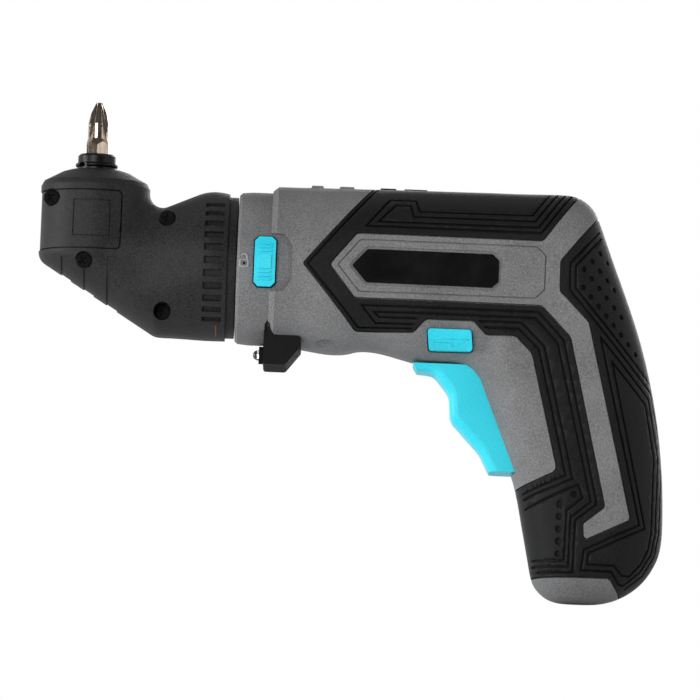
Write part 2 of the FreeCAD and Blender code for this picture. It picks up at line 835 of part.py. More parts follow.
cell = turned("battery_cell", "Z", [
    ("-cell_length / 2", "0"),
    ("-cell_length / 2", "cell_radius - 0.4"),
    ("-cell_length / 2 + 0.4", "cell_radius"),
    ("cell_length / 2 - 4.6", "cell_radius"),
    ("cell_length / 2 - 4.0", "cell_radius - 0.5"),
    ("cell_length / 2 - 3.2", "cell_radius - 0.5"),
    ("cell_length / 2 - 2.6", "cell_radius"),
    ("cell_length / 2 - 1.0", "cell_radius"),
    ("cell_length / 2 - 0.7", "cell_radius - 0.6"),
    ("cell_length / 2 - 0.7", "cell_radius - 5"),
    ("cell_length / 2", "cell_radius - 5.3"),
    ("cell_length / 2", "0"),
])
cell.Placement = Placement(ORIGIN, Rotation(Y, -dim.cell_lean))
cell.setExpression("Placement.Base.x", "Sizes.cell_x")
cell.setExpression("Placement.Base.z", "Sizes.cell_z - Sizes.tip_height")
formed("control_board", block(
    dim.socket_x - 9.5, dim.socket_x + 7.5, -8, 8, dim.board_z, dim.board_z + dim.board_thick
))
socket = block(
    dim.socket_x - dim.socket_long / 2,
    dim.socket_x + dim.socket_long / 2,
    -dim.socket_thick / 2,
    dim.socket_thick / 2,
    dim.butt_z + 0.4,
    dim.board_z,
)
mouth = block(
    dim.socket_x - dim.socket_long / 2 + 0.35,
    dim.socket_x + dim.socket_long / 2 - 0.35,
    -dim.socket_thick / 2 + 0.35,
    dim.socket_thick / 2 - 0.35,
    dim.butt_z - 1,
    dim.board_z - 1.5,
)
tongue = block(
    dim.socket_x - dim.socket_long / 2 + 1.1,
    dim.socket_x + dim.socket_long / 2 - 1.1,
    -0.35,
    0.35,
    dim.butt_z + 1.4,
    dim.board_z - 1.0,
)
formed("charge_socket", socket.cut(mouth).fuse(tongue).removeSplitter())

# Gear teeth: flanks follow the involute, a little thinned so that the pairs run free

PRESSURE = math.radians(25)
ADDENDUM = 0.8
DEDENDUM = 1.05
THINNING = 0.06
BEVEL_DEDENDUM = 1.15
BEVEL_THINNING = 0.12


def tooth_half_angle(radius, teeth, module, thin):
    """Half the angle a tooth takes up at a radius."""
    pitch = teeth * module / 2
    base = pitch * math.cos(PRESSURE)
    roll = math.acos(base / radius) if radius > base else 0.0
    growth = math.tan(PRESSURE) - PRESSURE - math.tan(roll) + roll
    return math.pi / (2 * teeth) + growth - thin / (2 * pitch)


def spur_face(teeth, low, high, thin, phase):
    """A spur gear's face in the YZ plane, a tooth standing at the phase angle."""
    module = dim.gear_module
    pitch = teeth * module / 2
    radii = [pitch + offset * module for offset in (-low, -low * 0.4, 0, high * 0.5, high)]
    points = []
    for number in range(teeth):
        centre = phase + 2 * math.pi * number / teeth
        for side, run in ((-1, radii), (1, radii[::-1])):
            for radius in run:
                angle = centre + side * tooth_half_angle(radius, teeth, module, thin)
                points.append(Vector(0, radius * math.cos(angle), radius * math.sin(angle)))
    return Part.Face(Part.makePolygon(points + points[:1]))


def spur(teeth, start, width, phase):
    face = spur_face(teeth, DEDENDUM, ADDENDUM, THINNING, phase)
    face.translate(X * start)
    return face.extrude(X * width)


sun_teeth = int(dim.sun_teeth)
planet_teeth = int(dim.planet_teeth)
ring_teeth = sun_teeth + 2 * planet_teeth
orbit = dim.gear_module * (sun_teeth + planet_teeth) / 2
PLANET_ANGLES = [math.radians(90 + 120 * number) for number in range(3)]


def planet_phase(angle):
    """The turn that puts a planet's gap on the sun's tooth, the sun's first tooth lying on Y."""
    return angle + math.pi + (angle * sun_teeth - math.pi) / planet_teeth


def planet(label, angle, start):
    gear = spur(planet_teeth, start, dim.planet_width, planet_phase(angle))
    bore = rod(X, start - 1, start + dim.planet_width + 1, dim.planet_pin + dim.run_play)
    gear = gear.cut(bore)
    gear.translate(Vector(0, orbit * math.cos(angle), orbit * math.sin(angle)))
    formed(label, gear)


def pins(start, end):
    return [
        rod(X, start, end, dim.planet_pin, y=orbit * math.cos(angle), z=orbit * math.sin(angle))
        for angle in PLANET_ANGLES
    ]


# Planetary gearbox from the motor to the output

ring_turn = planet_phase(0.0) * planet_teeth / ring_teeth - math.pi / ring_teeth
teeth_room = spur_face(ring_teeth, ADDENDUM, DEDENDUM, -THINNING, ring_turn)
teeth_room.translate(X * (dim.box_start + 4))
ring_tube = rod(X, dim.box_start + 4, box_end, dim.box_radius)
formed("ring_gear", ring_tube.cut(teeth_room.extrude(X * (box_end - dim.box_start - 4))))
sleeve("gearbox_front", "X", "box_start", "box_start + 4", "output_radius + 2.3", "box_radius")
bush_radius = "output_radius + 2.3"
sleeve("output_bush", "X", "box_start - 1", "box_start + 4", "output_radius + run_play", bush_radius)
disc_radius = orbit + dim.planet_pin + 1.6
hexagon = Part.makePolygon([
    Vector(0, math.cos(math.radians(60 * k)), math.sin(math.radians(60 * k))) for k in range(7)
])


def hex_rod(start, end, across):
    """A hexagon bar on the motor axis."""
    face = Part.Face(hexagon.copy())
    grow = FreeCAD.Matrix()
    grow.scale(1, across / math.sqrt(3), across / math.sqrt(3))
    face = face.transformGeometry(grow)
    face.translate(X * start)
    return face.extrude(X * (end - start))


socket_start = dim.spigot_end - 10.5
hex_end = dim.spigot_end - 2.5
point_room = hex_rod(socket_start - 1, hex_end + 1, dim.hex_across + dim.hex_play)
point_room_turned = point_room.copy()
point_room_turned.rotate(ORIGIN, X, 30)
output = rod(X, socket_start, out_disc, dim.output_radius)
output = output.fuse(rod(X, out_disc, out_disc + 3, disc_radius))
output = output.fuse(pins(out_disc + 2, stage_two + dim.planet_width))
formed("output_carrier", output.cut([point_room, point_room_turned]).removeSplitter())
first = rod(X, disc_one, disc_one + 2.5, disc_radius)
first = first.fuse(pins(disc_one + 2, stage_one + dim.planet_width))
first = first.fuse(spur(sun_teeth, stage_two + 0.2, disc_one - stage_two - 0.2, 0.0))
formed("first_carrier", first.removeSplitter())
for number, angle in enumerate(PLANET_ANGLES, 1):
    planet(f"planet_one_{number}", angle, stage_one)
    planet(f"planet_two_{number}", angle, stage_two)

# Motor with its plate, shaft and pinion

sleeve("motor_plate", "X", f"{box_end}", f"{motor_start}", "4", "box_radius")
turned("motor_can", "X", [
    (f"{motor_start - 1.2}", "motor_shaft + 0.1"),
    (f"{motor_start - 1.2}", "3.9"),
    (f"{motor_start}", "3.9"),
    (f"{motor_start}", "motor_radius - 0.8"),
    (f"{motor_start + 0.8}", "motor_radius"),
    (f"{motor_end}", "motor_radius"),
    (f"{motor_end}", "motor_shaft + 0.1"),
])
turned("motor_end_cap", "X", [
    (f"{motor_end}", "motor_shaft + 0.1"),
    (f"{motor_end}", "motor_radius - 0.4"),
    (f"{motor_end + 2.6}", "motor_radius - 0.4"),
    (f"{motor_end + 2.6}", "4.5"),
    (f"{motor_end + 4.6}", "4.0"),
    (f"{motor_end + 4.6}", "motor_shaft + 0.1"),
])
turned("motor_shaft", "X", [
    (f"{stage_one + 0.2}", "0"),
    (f"{stage_one + 0.2}", "motor_shaft"),
    (f"{motor_end + 4}", "motor_shaft"),
    (f"{motor_end + 4}", "0"),
])
motor_pinion = spur(sun_teeth, stage_one + 0.2, dim.planet_width - 0.2, 0.0)
formed("motor_pinion", motor_pinion.cut(rod(X, stage_one - 1, box_end + 1, dim.motor_shaft)))

# Index ring: carries the head in the nose; its groove holds the slider's tooth, its notches lock it

index_ring = turned("index_ring", "X", [
    ("head_rear - 5.6", "ring_bore"),
    ("head_rear - 5.6", "spigot_radius - 0.7"),
    ("head_rear - 4.1", "spigot_radius - 0.7"),
    ("head_rear - 4.1", "spigot_radius + 1.1"),
    ("head_rear - 2.1", "spigot_radius + 1.1"),
    ("head_rear - 2.1", "spigot_radius - 0.7"),
    ("head_rear", "spigot_radius - 0.7"),
    ("head_rear", "flange_radius"),
    ("head_rear + flange_width", "flange_radius"),
    ("head_rear + flange_width", "spigot_radius"),
    ("index_groove", "spigot_radius"),
    ("index_groove", "spigot_radius - index_groove_depth"),
    ("index_groove + index_groove_width", "spigot_radius - index_groove_depth"),
    ("index_groove + index_groove_width", "spigot_radius"),
    ("spigot_end", "spigot_radius"),
    ("spigot_end", "ring_bore"),
])
notch_sketch = sketched(
    index_ring,
    [
        ("-spigot_radius - 2", "-notch_width / 2"),
        ("-spigot_radius + index_groove_depth", "-notch_width / 2"),
        ("-spigot_radius + index_groove_depth", "notch_width / 2"),
        ("-spigot_radius - 2", "notch_width / 2"),
    ],
    offset="index_groove + index_groove_width",
    plane="YZ_Plane",
)
notch = index_ring.newObject("PartDesign::Pocket", "index_notch")
notch.Profile = notch_sketch
notch.Type = "ThroughAll"
notch.Reversed = True
doc.recompute()
notches = index_ring.newObject("PartDesign::PolarPattern", "index_notches")
notches.Originals = [notch]
notches.Axis = (next(f for f in index_ring.Origin.OriginFeatures if f.Role == "X_Axis"), [""])
notches.Angle = 360
notches.setExpression("Occurrences", bound("index_positions"))
index_ring.Tip = notches
doc.recompute()

# Angle head: a drum about the bit axis and a neck about the motor axis, under a sloping chin

NECK = [
    (0.0, 14.5, -17.0, 15.2, 13.0),
    (10.0, 14.8, -18.5, 15.2, 13.0),
    (18.0, 15.6, -20.4, 16.0, 14.0),
    (25.0, 18.4, -20.7, 18.6, 17.0),
    (dim.neck_start, dim.neck_radius, -dim.neck_radius, dim.neck_radius, dim.neck_radius - 0.5),
    (dim.head_rear, dim.neck_radius, -dim.neck_radius, dim.neck_radius, dim.neck_radius - 0.5),
]
CHIN_FRONT = Vector(-10.9, 0, -2.7)
CHIN_REAR = Vector(18.4, 0, -20.6)


def head_form(inset, chin_rounded=True):
    """The head set in by a depth."""
    rim = dim.head_radius - inset
    drum = [
        (0, -24),
        (rim, -24),
        (rim, dim.head_rim - inset / 2),
        (rim - 0.8, dim.head_rim + 1.5 - inset / 2),
        (rim - 5.9 + inset / 2, dim.head_top - 0.7 - inset),
        (rim - 8.1 + inset / 2, dim.head_top - inset),
        (0, dim.head_top - inset),
    ]
    face = Part.Face(Part.makePolygon([Vector(r, 0, z) for r, z in drum + drum[:1]]))
    neck = skinned([
        section(Vector(x, 0, top), Vector(x, 0, under), half, corner, inset)
        for x, top, under, half, corner in NECK
    ])
    whole = face.revolve(ORIGIN, Z, 360).fuse(neck)
    slope = (CHIN_REAR - CHIN_FRONT).normalize()
    inward = Vector(-slope.z, 0, slope.x)
    start = CHIN_FRONT + inward * dim.chin_radius - slope * 60
    chin = Part.makeCylinder(dim.chin_radius - inset, 140, start, slope)
    above = Part.makeBox(140, 80, 80)
    above.Placement = Placement(start - Y * 40, Rotation(slope, Y, inward, "XYZ"))
    whole = whole.common(chin.fuse(above))
    if not chin_rounded:
        return whole
    edges = [
        edge
        for edge in whole.Edges
        if edge.BoundBox.ZMin < 4
        and edge.BoundBox.XMax < dim.head_rear - 2
        and edge.Length > 3
        and edge.BoundBox.YMax - edge.BoundBox.YMin > 2
    ]
    return whole.makeFillet(dim.chin_round - inset, edges)


COVER_EDGE = [
    (-30.0, dim.cover_high, 0),
    (dim.cover_rear, dim.cover_high, 1.5),
    (dim.cover_rear, dim.cover_low, 1.5),
    (-30.0, dim.cover_low, 0),
]
CHIN_BANDS = [(-8.8, -6.0), (-2.2, 0.65), (4.5, 7.5)]
COVER_LINE = [(-5.6, 16.5, 0), (4.7, 16.5, 0), (4.7, 6.3, 0), (-5.6, 6.3, 0)]
HEAD_SCREWS = [
    (-12.3, 17.3, 7.6),
    (21.0, 12.4, 11.2),
    (-2.2, -0.9, 13.6),
    (20.7, -14.4, 9.2),
]
bevel_wheel_top = 10.6
head_outer = head_form(0)
head_rooms = [
    rod(Z, 2.5, 11.9, 10.5),
    rod(X, 4.6, 12, 7.7),
    rod(Z, -3, 3, dim.shaft_radius + 0.4),
    rod(Z, -6.6, -3, dim.foot_bush_radius),
    rod(Z, 11.9, 25, dim.spindle_bush_radius),
    rod(Z, 24, 40, dim.collar_radius + dim.part_gap),
    rod(X, 12, 18.2, dim.front_bush_radius),
    rod(X, 18, 27, 4.5),
    rod(X, 27, 33.1, dim.rear_bush_radius),
    rod(X, dim.head_rear - 5.6, 60, dim.spigot_radius - 0.7),
    rod(X, dim.head_rear - 4.1, dim.head_rear - 2.1, dim.spigot_radius + 1.1),
]
cover_room = through(COVER_EDGE).cut(head_form(dim.cover_depth))
bands = [block(start, end, -40, 40, -40, 0.3) for start, end in CHIN_BANDS]
band_room = Part.makeCompound(bands).cut(head_form(dim.band_depth))
ribs = []
for number in range(-5, 6):
    slot = block(32, 37.4, -40, -dim.neck_radius + dim.rib_depth, -dim.rib_slot / 2, dim.rib_slot / 2)
    slot.rotate(ORIGIN, X, number * dim.rib_pitch)
    ribs.append(slot)
head_left = left_of(head_outer).cut(cover_room).cut(head_rooms)
head_left = head_left.cut(band_room).cut(ribs)
head_right = mirrored(head_left)
screw_rooms = [rod(Y, -40, -depth, dim.screw_head, x=x, z=z) for x, z, depth in HEAD_SCREWS]
formed("head_left", head_left.cut(screw_rooms))
formed("head_right", head_right)
cover = head_form(dim.cover_sunk, False).common(through_face(spread(COVER_EDGE, -dim.cover_gap)))
cover = cover.cut(head_form(dim.cover_depth))
line_face = spread(COVER_LINE, dim.cover_line / 2).cut(spread(COVER_LINE, -dim.cover_line / 2))
line_room = through_face(line_face).cut(head_form(dim.cover_sunk + dim.cover_line, False))
formed("head_cover", cover.cut([line_room] + screw_rooms))

# Bevel pair on the crossing of the axes


def bevel_outline(teeth, mate, phase):
    """A bevel gear's outline at its large end; scaled towards the crossing it makes the teeth."""
    module = dim.bevel_module
    pitch = teeth * module / 2
    cone = math.atan2(teeth, mate)
    distance = mate * module / 2
    back = pitch / math.cos(cone)
    points = []
    offsets = [offset * module for offset in (-BEVEL_DEDENDUM, -0.46, 0, ADDENDUM / 2, ADDENDUM)]
    for number in range(teeth):
        centre = phase + 2 * math.pi * number / teeth
        for side, run in ((-1, offsets), (1, offsets[::-1])):
            for offset in run:
                half_angle = tooth_half_angle(back + offset, 2 * back / module, module, BEVEL_THINNING)
                radius = pitch + offset * math.cos(cone)
                angle = centre + side * half_angle * (back + offset) / radius
                radius *= distance / (distance - offset * math.sin(cone))
                points.append(Vector(radius * math.cos(angle), radius * math.sin(angle), distance))
    return Part.makePolygon(points + points[:1])


def bevel_gear(teeth, mate, phase):
    """Teeth between the large end and the small end, both ends flat, on the Z axis."""
    large = bevel_outline(teeth, mate, phase)
    cone_distance = math.hypot(teeth, mate) * dim.bevel_module / 2
    share = 1 - dim.bevel_face / cone_distance
    shrink = FreeCAD.Matrix()
    shrink.scale(share, share, share)
    small = large.transformGeometry(shrink)
    return Part.makeLoft([small, large], True, True)


pinion_teeth = int(dim.pinion_teeth)
wheel_teeth = int(dim.wheel_teeth)
wheel = bevel_gear(wheel_teeth, pinion_teeth, math.pi / wheel_teeth)
wheel_back = pinion_teeth * dim.bevel_module / 2
wheel = wheel.fuse(rod(Z, wheel_back, bevel_wheel_top, 5.6))
formed("bevel_wheel", wheel.cut(rod(Z, 0, 20, dim.shaft_radius)).removeSplitter())
pinion = bevel_gear(pinion_teeth, wheel_teeth, 0.0)
pinion_back = wheel_teeth * dim.bevel_module / 2
pinion = pinion.fuse(rod(Z, pinion_back, 11.6, 4.2)).cut(rod(Z, 0, 20, dim.stub_radius))
pinion.rotate(ORIGIN, Vector(1, 0, 1), 180)
formed("bevel_pinion", pinion.removeSplitter())

# Input shaft and its bushes

bevel_reach = math.hypot(pinion_teeth, wheel_teeth) * dim.bevel_module / 2
pinion_front = pinion_back * (1 - dim.bevel_face / bevel_reach)
shaft = rod(X, pinion_front + 0.2, 12, dim.stub_radius)
shaft = shaft.fuse([rod(X, 11.7, 33.4, dim.shaft_radius), hex_rod(33.4, hex_end, dim.hex_across)])
formed("input_shaft", shaft.removeSplitter())
sleeve("front_bush", "X", "12.2", "18.2", "shaft_radius + run_play", "front_bush_radius")
sleeve("rear_bush", "X", "27", "33", "shaft_radius + run_play", "rear_bush_radius")

# Spindle with its bushes, snap ring, magnet and bit

bit_foot = dim.tip_height - dim.bit_length
socket_floor = bit_foot - 0.4
spindle_blank = turned("spindle_blank", "Z", [
    ("-6.4", "0"),
    ("-6.4", "stub_radius"),
    ("-2.4", "stub_radius"),
    ("-2.4", "shaft_radius"),
    ("10.6", "shaft_radius"),
    ("10.6", "collar_radius + 1.6"),
    ("11.6", "collar_radius + 1.6"),
    ("11.6", "collar_radius"),
    ("ring_height - ring_wire / 2 - 0.05", "collar_radius"),
    ("ring_height - ring_wire / 2 - 0.05", "collar_radius - 0.55"),
    ("ring_height + ring_wire / 2 + 0.05", "collar_radius - 0.55"),
    ("ring_height + ring_wire / 2 + 0.05", "collar_radius"),
    ("collar_top - 0.6", "collar_radius"),
    ("collar_top", "collar_radius - 0.6"),
    ("collar_top", "0"),
])
pieces.remove(spindle_blank)
spindle_blank.setExpression("Placement.Base.z", None)
spindle_blank.Placement = Placement()
doc.recompute()


def hex_bar(start, end, across):
    """A hexagon bar on the bit axis."""
    bar = hex_rod(start, end, across)
    bar.rotate(ORIGIN, Y, -90)
    return bar


hex_room = hex_bar(socket_floor, dim.collar_top + 1, dim.hex_across + dim.hex_play)
magnet_low = socket_floor - dim.magnet_length
magnet_room = rod(Z, magnet_low, socket_floor + 0.5, dim.magnet_radius)
formed("spindle", spindle_blank.Shape.cut([hex_room, magnet_room]))
formed("bit_magnet", rod(Z, magnet_low, socket_floor, dim.magnet_radius))
sleeve("foot_bush", "Z", "-6.5", "-3", "stub_radius + run_play", "foot_bush_radius")
sleeve("collar_bush", "Z", "12", "25", "collar_radius + run_play", "spindle_bush_radius")
hoop = Part.makeTorus(dim.collar_radius + 0.07, dim.ring_wire / 2, Vector(0, 0, dim.ring_height))
split = block(-20, 0, -1.2, 1.2, 0, 60)
split.rotate(ORIGIN, Z, 50)
formed("snap_ring", hoop.cut(split))

hex_top = bit_foot + dim.bit_hex_length
shank = hex_bar(bit_foot, hex_top, dim.hex_across)
shoulder_z = dim.tip_height - 2 * (dim.flute_radius - dim.point_radius)
point_profile = [
    (0, hex_top - 1),
    (dim.flute_radius, hex_top - 1),
    (dim.flute_radius, shoulder_z),
    (dim.point_radius, dim.tip_height),
    (0, dim.tip_height),
]
point_face = Part.Face(Part.makePolygon([Vector(r, 0, z) for r, z in point_profile + point_profile[:1]]))
point = point_face.revolve(ORIGIN, Z, 360)
flutes = []
for number in range(4):
    ends = []
    for floor, z in ((0.45, dim.tip_height + 1), (dim.flute_radius + 0.2, hex_top + 0.5)):
        ends.append(Part.makePolygon([
            Vector(floor, 0, z), Vector(floor + 4, -3.6, z), Vector(floor + 4, 3.6, z), Vector(floor, 0, z)
        ]))
    flute = Part.makeLoft(ends, True, True)
    flute.rotate(ORIGIN, Z, 45 + 90 * number)
    flutes.append(flute)
formed("bit", shank.fuse(point.cut(flutes)).removeSplitter())

# Checks, then one file per piece

doc.recompute()
for thing in doc.Objects:
    bad = [word for word in thing.State if word in ("Invalid", "Error")]
    if bad:
        raise RuntimeError(f"{thing.Name} is {bad}")
for piece in pieces:
    if piece.Shape.isNull() or not piece.Shape.isValid():
        raise RuntimeError(f"{piece.Label} has no valid shape")
os.makedirs("parts", exist_ok=True)
for piece in pieces:
    piece.Shape.exportStep(f"parts/{piece.Label}.step")
    print(piece.Label, round(piece.Shape.Volume, 1), len(piece.Shape.Solids))
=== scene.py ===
import math

import bmesh
import bpy
from mathutils import Matrix, Vector
from mathutils.bvhtree import BVHTree


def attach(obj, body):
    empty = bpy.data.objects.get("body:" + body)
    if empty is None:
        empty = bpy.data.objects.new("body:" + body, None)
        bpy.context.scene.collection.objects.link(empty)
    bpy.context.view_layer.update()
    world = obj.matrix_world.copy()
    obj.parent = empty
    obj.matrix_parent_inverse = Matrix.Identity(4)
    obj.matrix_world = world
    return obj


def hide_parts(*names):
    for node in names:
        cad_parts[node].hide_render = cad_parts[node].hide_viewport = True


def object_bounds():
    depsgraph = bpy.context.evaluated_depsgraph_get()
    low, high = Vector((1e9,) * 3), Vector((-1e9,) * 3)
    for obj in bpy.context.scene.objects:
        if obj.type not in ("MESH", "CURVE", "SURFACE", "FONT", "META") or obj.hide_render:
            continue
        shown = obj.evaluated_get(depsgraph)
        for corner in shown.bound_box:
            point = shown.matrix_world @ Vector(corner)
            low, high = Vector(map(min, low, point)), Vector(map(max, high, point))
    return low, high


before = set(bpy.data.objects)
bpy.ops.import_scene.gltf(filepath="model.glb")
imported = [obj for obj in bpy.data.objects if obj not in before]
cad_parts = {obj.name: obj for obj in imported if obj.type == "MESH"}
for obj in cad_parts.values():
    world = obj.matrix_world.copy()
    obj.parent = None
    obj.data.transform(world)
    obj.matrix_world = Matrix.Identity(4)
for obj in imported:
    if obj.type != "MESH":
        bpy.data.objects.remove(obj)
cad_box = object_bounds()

# Motor and gear train: a drawn steel motor, two rows of planet gears in a ring gear, and a bevel pair in
# the head. The can is zinc plated, the shafts are ground, and the gears and bushes are pressed from powder.
MM = 0.001
METAL_EDGE = 0.12 * MM
METAL_SPREAD = 0.3
NOISE_LOW = 0.3
NOISE_HIGH = 0.7


def linear(code):
    """An sRGB hex colour as linear red, green, blue and alpha."""
    shares = [int(code[start:start + 2], 16) / 255 for start in (1, 3, 5)]
    return tuple(c / 12.92 if c <= 0.04045 else ((c + 0.055) / 1.055) ** 2.4 for c in shares) + (1.0,)


def add(tree, kind, inputs=(), **settings):
    """A node with its settings; each input is linked to a socket or set to a value."""
    node = tree.nodes.new("ShaderNode" + kind)
    for name, value in settings.items():
        setattr(node, name, value)
    for name, value in dict(inputs).items():
        if isinstance(value, bpy.types.NodeSocket):
            tree.links.new(value, node.inputs[name])
        else:
            node.inputs[name].default_value = value
    return node


def new_finish(name):
    """A new material: its node tree, its shader and its coordinates on the piece."""
    made = bpy.data.materials.new(name)
    made.use_nodes = True
    tree = made.node_tree
    place = add(tree, "TexCoord").outputs["Object"]
    return made, tree, tree.nodes["Principled BSDF"], place


def set_shader(tree, shader, **values):
    """Set or link the shader's inputs, named with underscores for spaces."""
    for name, value in values.items():
        socket = shader.inputs[name.replace("_", " ")]
        if isinstance(value, bpy.types.NodeSocket):
            tree.links.new(value, socket)
        else:
            socket.default_value = value


# Marks of grinding, plating and pressing are really 0.02 to 0.1 mm apart. They are drawn several times as
# coarse, so that they show.
def metal(name, dark, light, spacing, depth, roughness, draw=(1, 1, 1)):
    """A metal with marks of its making at a spacing, drawn out along an axis that has a small factor."""
    made, tree, shader, place = new_finish(name)
    lay = add(tree, "VectorMath", {0: place, 1: draw}, operation="MULTIPLY").outputs[0]
    marks = add(tree, "TexNoise", {"Vector": lay, "Scale": 1 / spacing, "Detail": 4.0}).outputs[0]
    span = {0: marks, 1: NOISE_LOW, 2: NOISE_HIGH}
    share = add(tree, "MapRange", span).outputs[0]
    colour = add(tree, "Mix", {0: share, 6: linear(dark), 7: linear(light)}, data_type="RGBA").outputs[2]
    smooth = roughness * (1 - METAL_SPREAD)
    rough = roughness * (1 + METAL_SPREAD)
    gloss = add(tree, "MapRange", span | {3: smooth, 4: rough}).outputs[0]
    edge = add(tree, "Bevel", {"Radius": METAL_EDGE}, samples=4).outputs[0]
    worked = add(tree, "Bump", {"Height": marks, "Distance": depth, "Normal": edge}).outputs[0]
    set_shader(tree, shader, Base_Color=colour, Roughness=gloss, Metallic=1.0, Normal=worked)
    return made


def dress(made, *names):
    """Put a finish on CAD nodes."""
    for name in names:
        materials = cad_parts[name].data.materials
        materials.clear()
        materials.append(made)


# Zinc plating: bluish white and satin, with broad faint clouds where the bath ran off.
zinc_plate = metal("zinc_plated_steel", "#a9abaa", "#c6c7c4", 1.5 * MM, 0.003 * MM, 0.32)
dress(zinc_plate, "motor_can", "motor_plate", "charge_socket")
# Ground steel: bright, with hair-fine lines along the shaft from the wheel.
ground_steel = metal("ground_steel", "#b0b0b0", "#cfcfcf", 0.3 * MM, 0.004 * MM, 0.25, draw=(0.1, 1, 1))
dress(ground_steel, "motor_shaft", "input_shaft")
# Sintered steel: dull grey, pitted all over by the pores between the powder's grains.
sintered_steel = metal("sintered_steel", "#74736f", "#93918e", 0.25 * MM, 0.012 * MM, 0.42)
gears = ["ring_gear", "output_carrier", "first_carrier", "motor_pinion", "bevel_wheel", "bevel_pinion"]
planets = [f"planet_{stage}_{number}" for stage in ("one", "two") for number in (1, 2, 3)]
dress(sintered_steel, *gears, *planets)
# Sintered bronze: warm and dull, darkened in its pores by the oil it holds.
bronze = metal("sintered_bronze", "#96703d", "#b58c55", 0.25 * MM, 0.01 * MM, 0.4)
dress(bronze, "output_bush", "front_bush", "rear_bush", "foot_bush", "collar_bush")
# Nickel plating: a yellowish mirror with next to no marks, on the magnet that holds the bit.
nickel = metal("nickel_plated_magnet", "#bdb8ae", "#ccc7bd", 1.0 * MM, 0.001 * MM, 0.15)
dress(nickel, "bit_magnet")

# Cell and board: a lithium cell in a shrunk sleeve, and the control board with its charging socket.
# They lie in the handle, held by ribs of the housing.
MOULD_EDGE = 0.22 * MM
MOULD_CLOUD = 14 * MM
CLOUD_SHARE = 0.35
SPECK_LOW = 0.45
SPECK_HIGH = 0.9
MOULD_SPREAD = 0.07


# The grain of a moulded skin is really 0.1 to 0.2 mm. It is drawn at about 0.4 mm, so that it shows.
def moulded(name, dark, light, grain, depth, roughness, specular):
    """A moulded plastic: a fine grain in its colour, gloss and height, over faint clouds."""
    made, tree, shader, place = new_finish(name)
    cloud = add(tree, "TexNoise", {"Vector": place, "Scale": 1 / MOULD_CLOUD, "Detail": 3.0}).outputs[0]
    fine = {"Vector": place, "Scale": 1 / grain, "Detail": 2.0, "Roughness": 0.7}
    specks = add(tree, "TexNoise", fine).outputs[0]
    both = add(tree, "Math", {0: cloud, 1: CLOUD_SHARE, 2: specks}, operation="MULTIPLY_ADD").outputs[0]
    share = add(tree, "MapRange", {0: both, 1: SPECK_LOW, 2: SPECK_HIGH}).outputs[0]
    colour = add(tree, "Mix", {0: share, 6: linear(dark), 7: linear(light)}, data_type="RGBA").outputs[2]
    span = {0: specks, 1: NOISE_LOW, 2: NOISE_HIGH}
    smooth = roughness - MOULD_SPREAD
    rough = roughness + MOULD_SPREAD
    gloss = add(tree, "MapRange", span | {3: smooth, 4: rough}).outputs[0]
    edge = add(tree, "Bevel", {"Radius": MOULD_EDGE}, samples=4).outputs[0]
    grained = add(tree, "Bump", {"Height": specks, "Distance": depth, "Normal": edge}).outputs[0]
    set_shader(tree, shader, Base_Color=colour, Roughness=gloss, Normal=grained)
    set_shader(tree, shader, Specular_IOR_Level=specular)
    return made


# Shrink sleeve: thin glossy film, drawn tight, with the slow waves of the shrinking.
sleeve_film = moulded("green_shrink_sleeve", "#2f6d4a", "#357852", 8 * MM, 0.004 * MM, 0.3, 0.5)
dress(sleeve_film, "battery_cell")
# Solder mask: a thin green lacquer, glossier where it lies over bare glass cloth.
solder_mask = moulded("green_solder_mask", "#1d5a34", "#23653b", 2 * MM, 0.01 * MM, 0.35, 0.5)
dress(solder_mask, "control_board")

# Switch and end caps: black ABS, moulded plain, behind the trigger and at the ends of motor and gearbox.
# The lamp holder under the nose is of the same plastic, and clips on by its stem.
# Black ABS: deep and matt from a blasted tool, with hardly a highlight.
black_abs = moulded("black_abs_moulded", "#131314", "#202021", 0.4 * MM, 0.05 * MM, 0.78, 0.08)
dress(black_abs, "trigger_switch", "switch_plunger", "gearbox_front", "motor_end_cap", "lamp_holder")

# Lamp: a round lamp cast in clear epoxy, with the plated cup and stem of its frame inside it.
# The cup throws the light forwards, and shows as bright rings through the dome.
LAMP_AXIS_Z = -70.7 * MM
LAMP_FRONT = 48.3 * MM
CUP = [(0.35, 0.9), (0.5, 0.9), (1.05, 0.25), (1.2, 0.3), (1.2, 1.5), (0.9, 1.9), (0.45, 1.9), (0.45, 4.4)]
CUP_SIDES = 32
EPOXY_HAZE = 1.2 * MM
EPOXY_SMOOTH = 0.02
EPOXY_ROUGH = 0.08


def shape(name, corners, faces):
    """A new mesh piece from its corners and faces."""
    mesh = bpy.data.meshes.new(name)
    mesh.from_pydata(corners, [], faces)
    piece = bpy.data.objects.new(name, mesh)
    bpy.context.scene.collection.objects.link(piece)
    return piece


def turned(name, profile, sides, place):
    """A piece turned about the x axis: the profile is radius and distance back from the place, in mm."""
    corners = []
    faces = []
    for radius, back in profile:
        for side in range(sides):
            turn = 2 * math.pi * side / sides
            corners.append((back * MM, radius * MM * math.cos(turn), radius * MM * math.sin(turn)))
    for ring in range(len(profile) - 1):
        for side in range(sides):
            other = (side + 1) % sides
            here = ring * sides
            behind = here + sides
            faces.append([here + side, here + other, behind + other, behind + side])
    faces.append(list(range(sides)))
    faces.append(list(range((len(profile) - 1) * sides, len(profile) * sides)))
    piece = shape(name, corners, faces)
    piece.location = place
    return piece


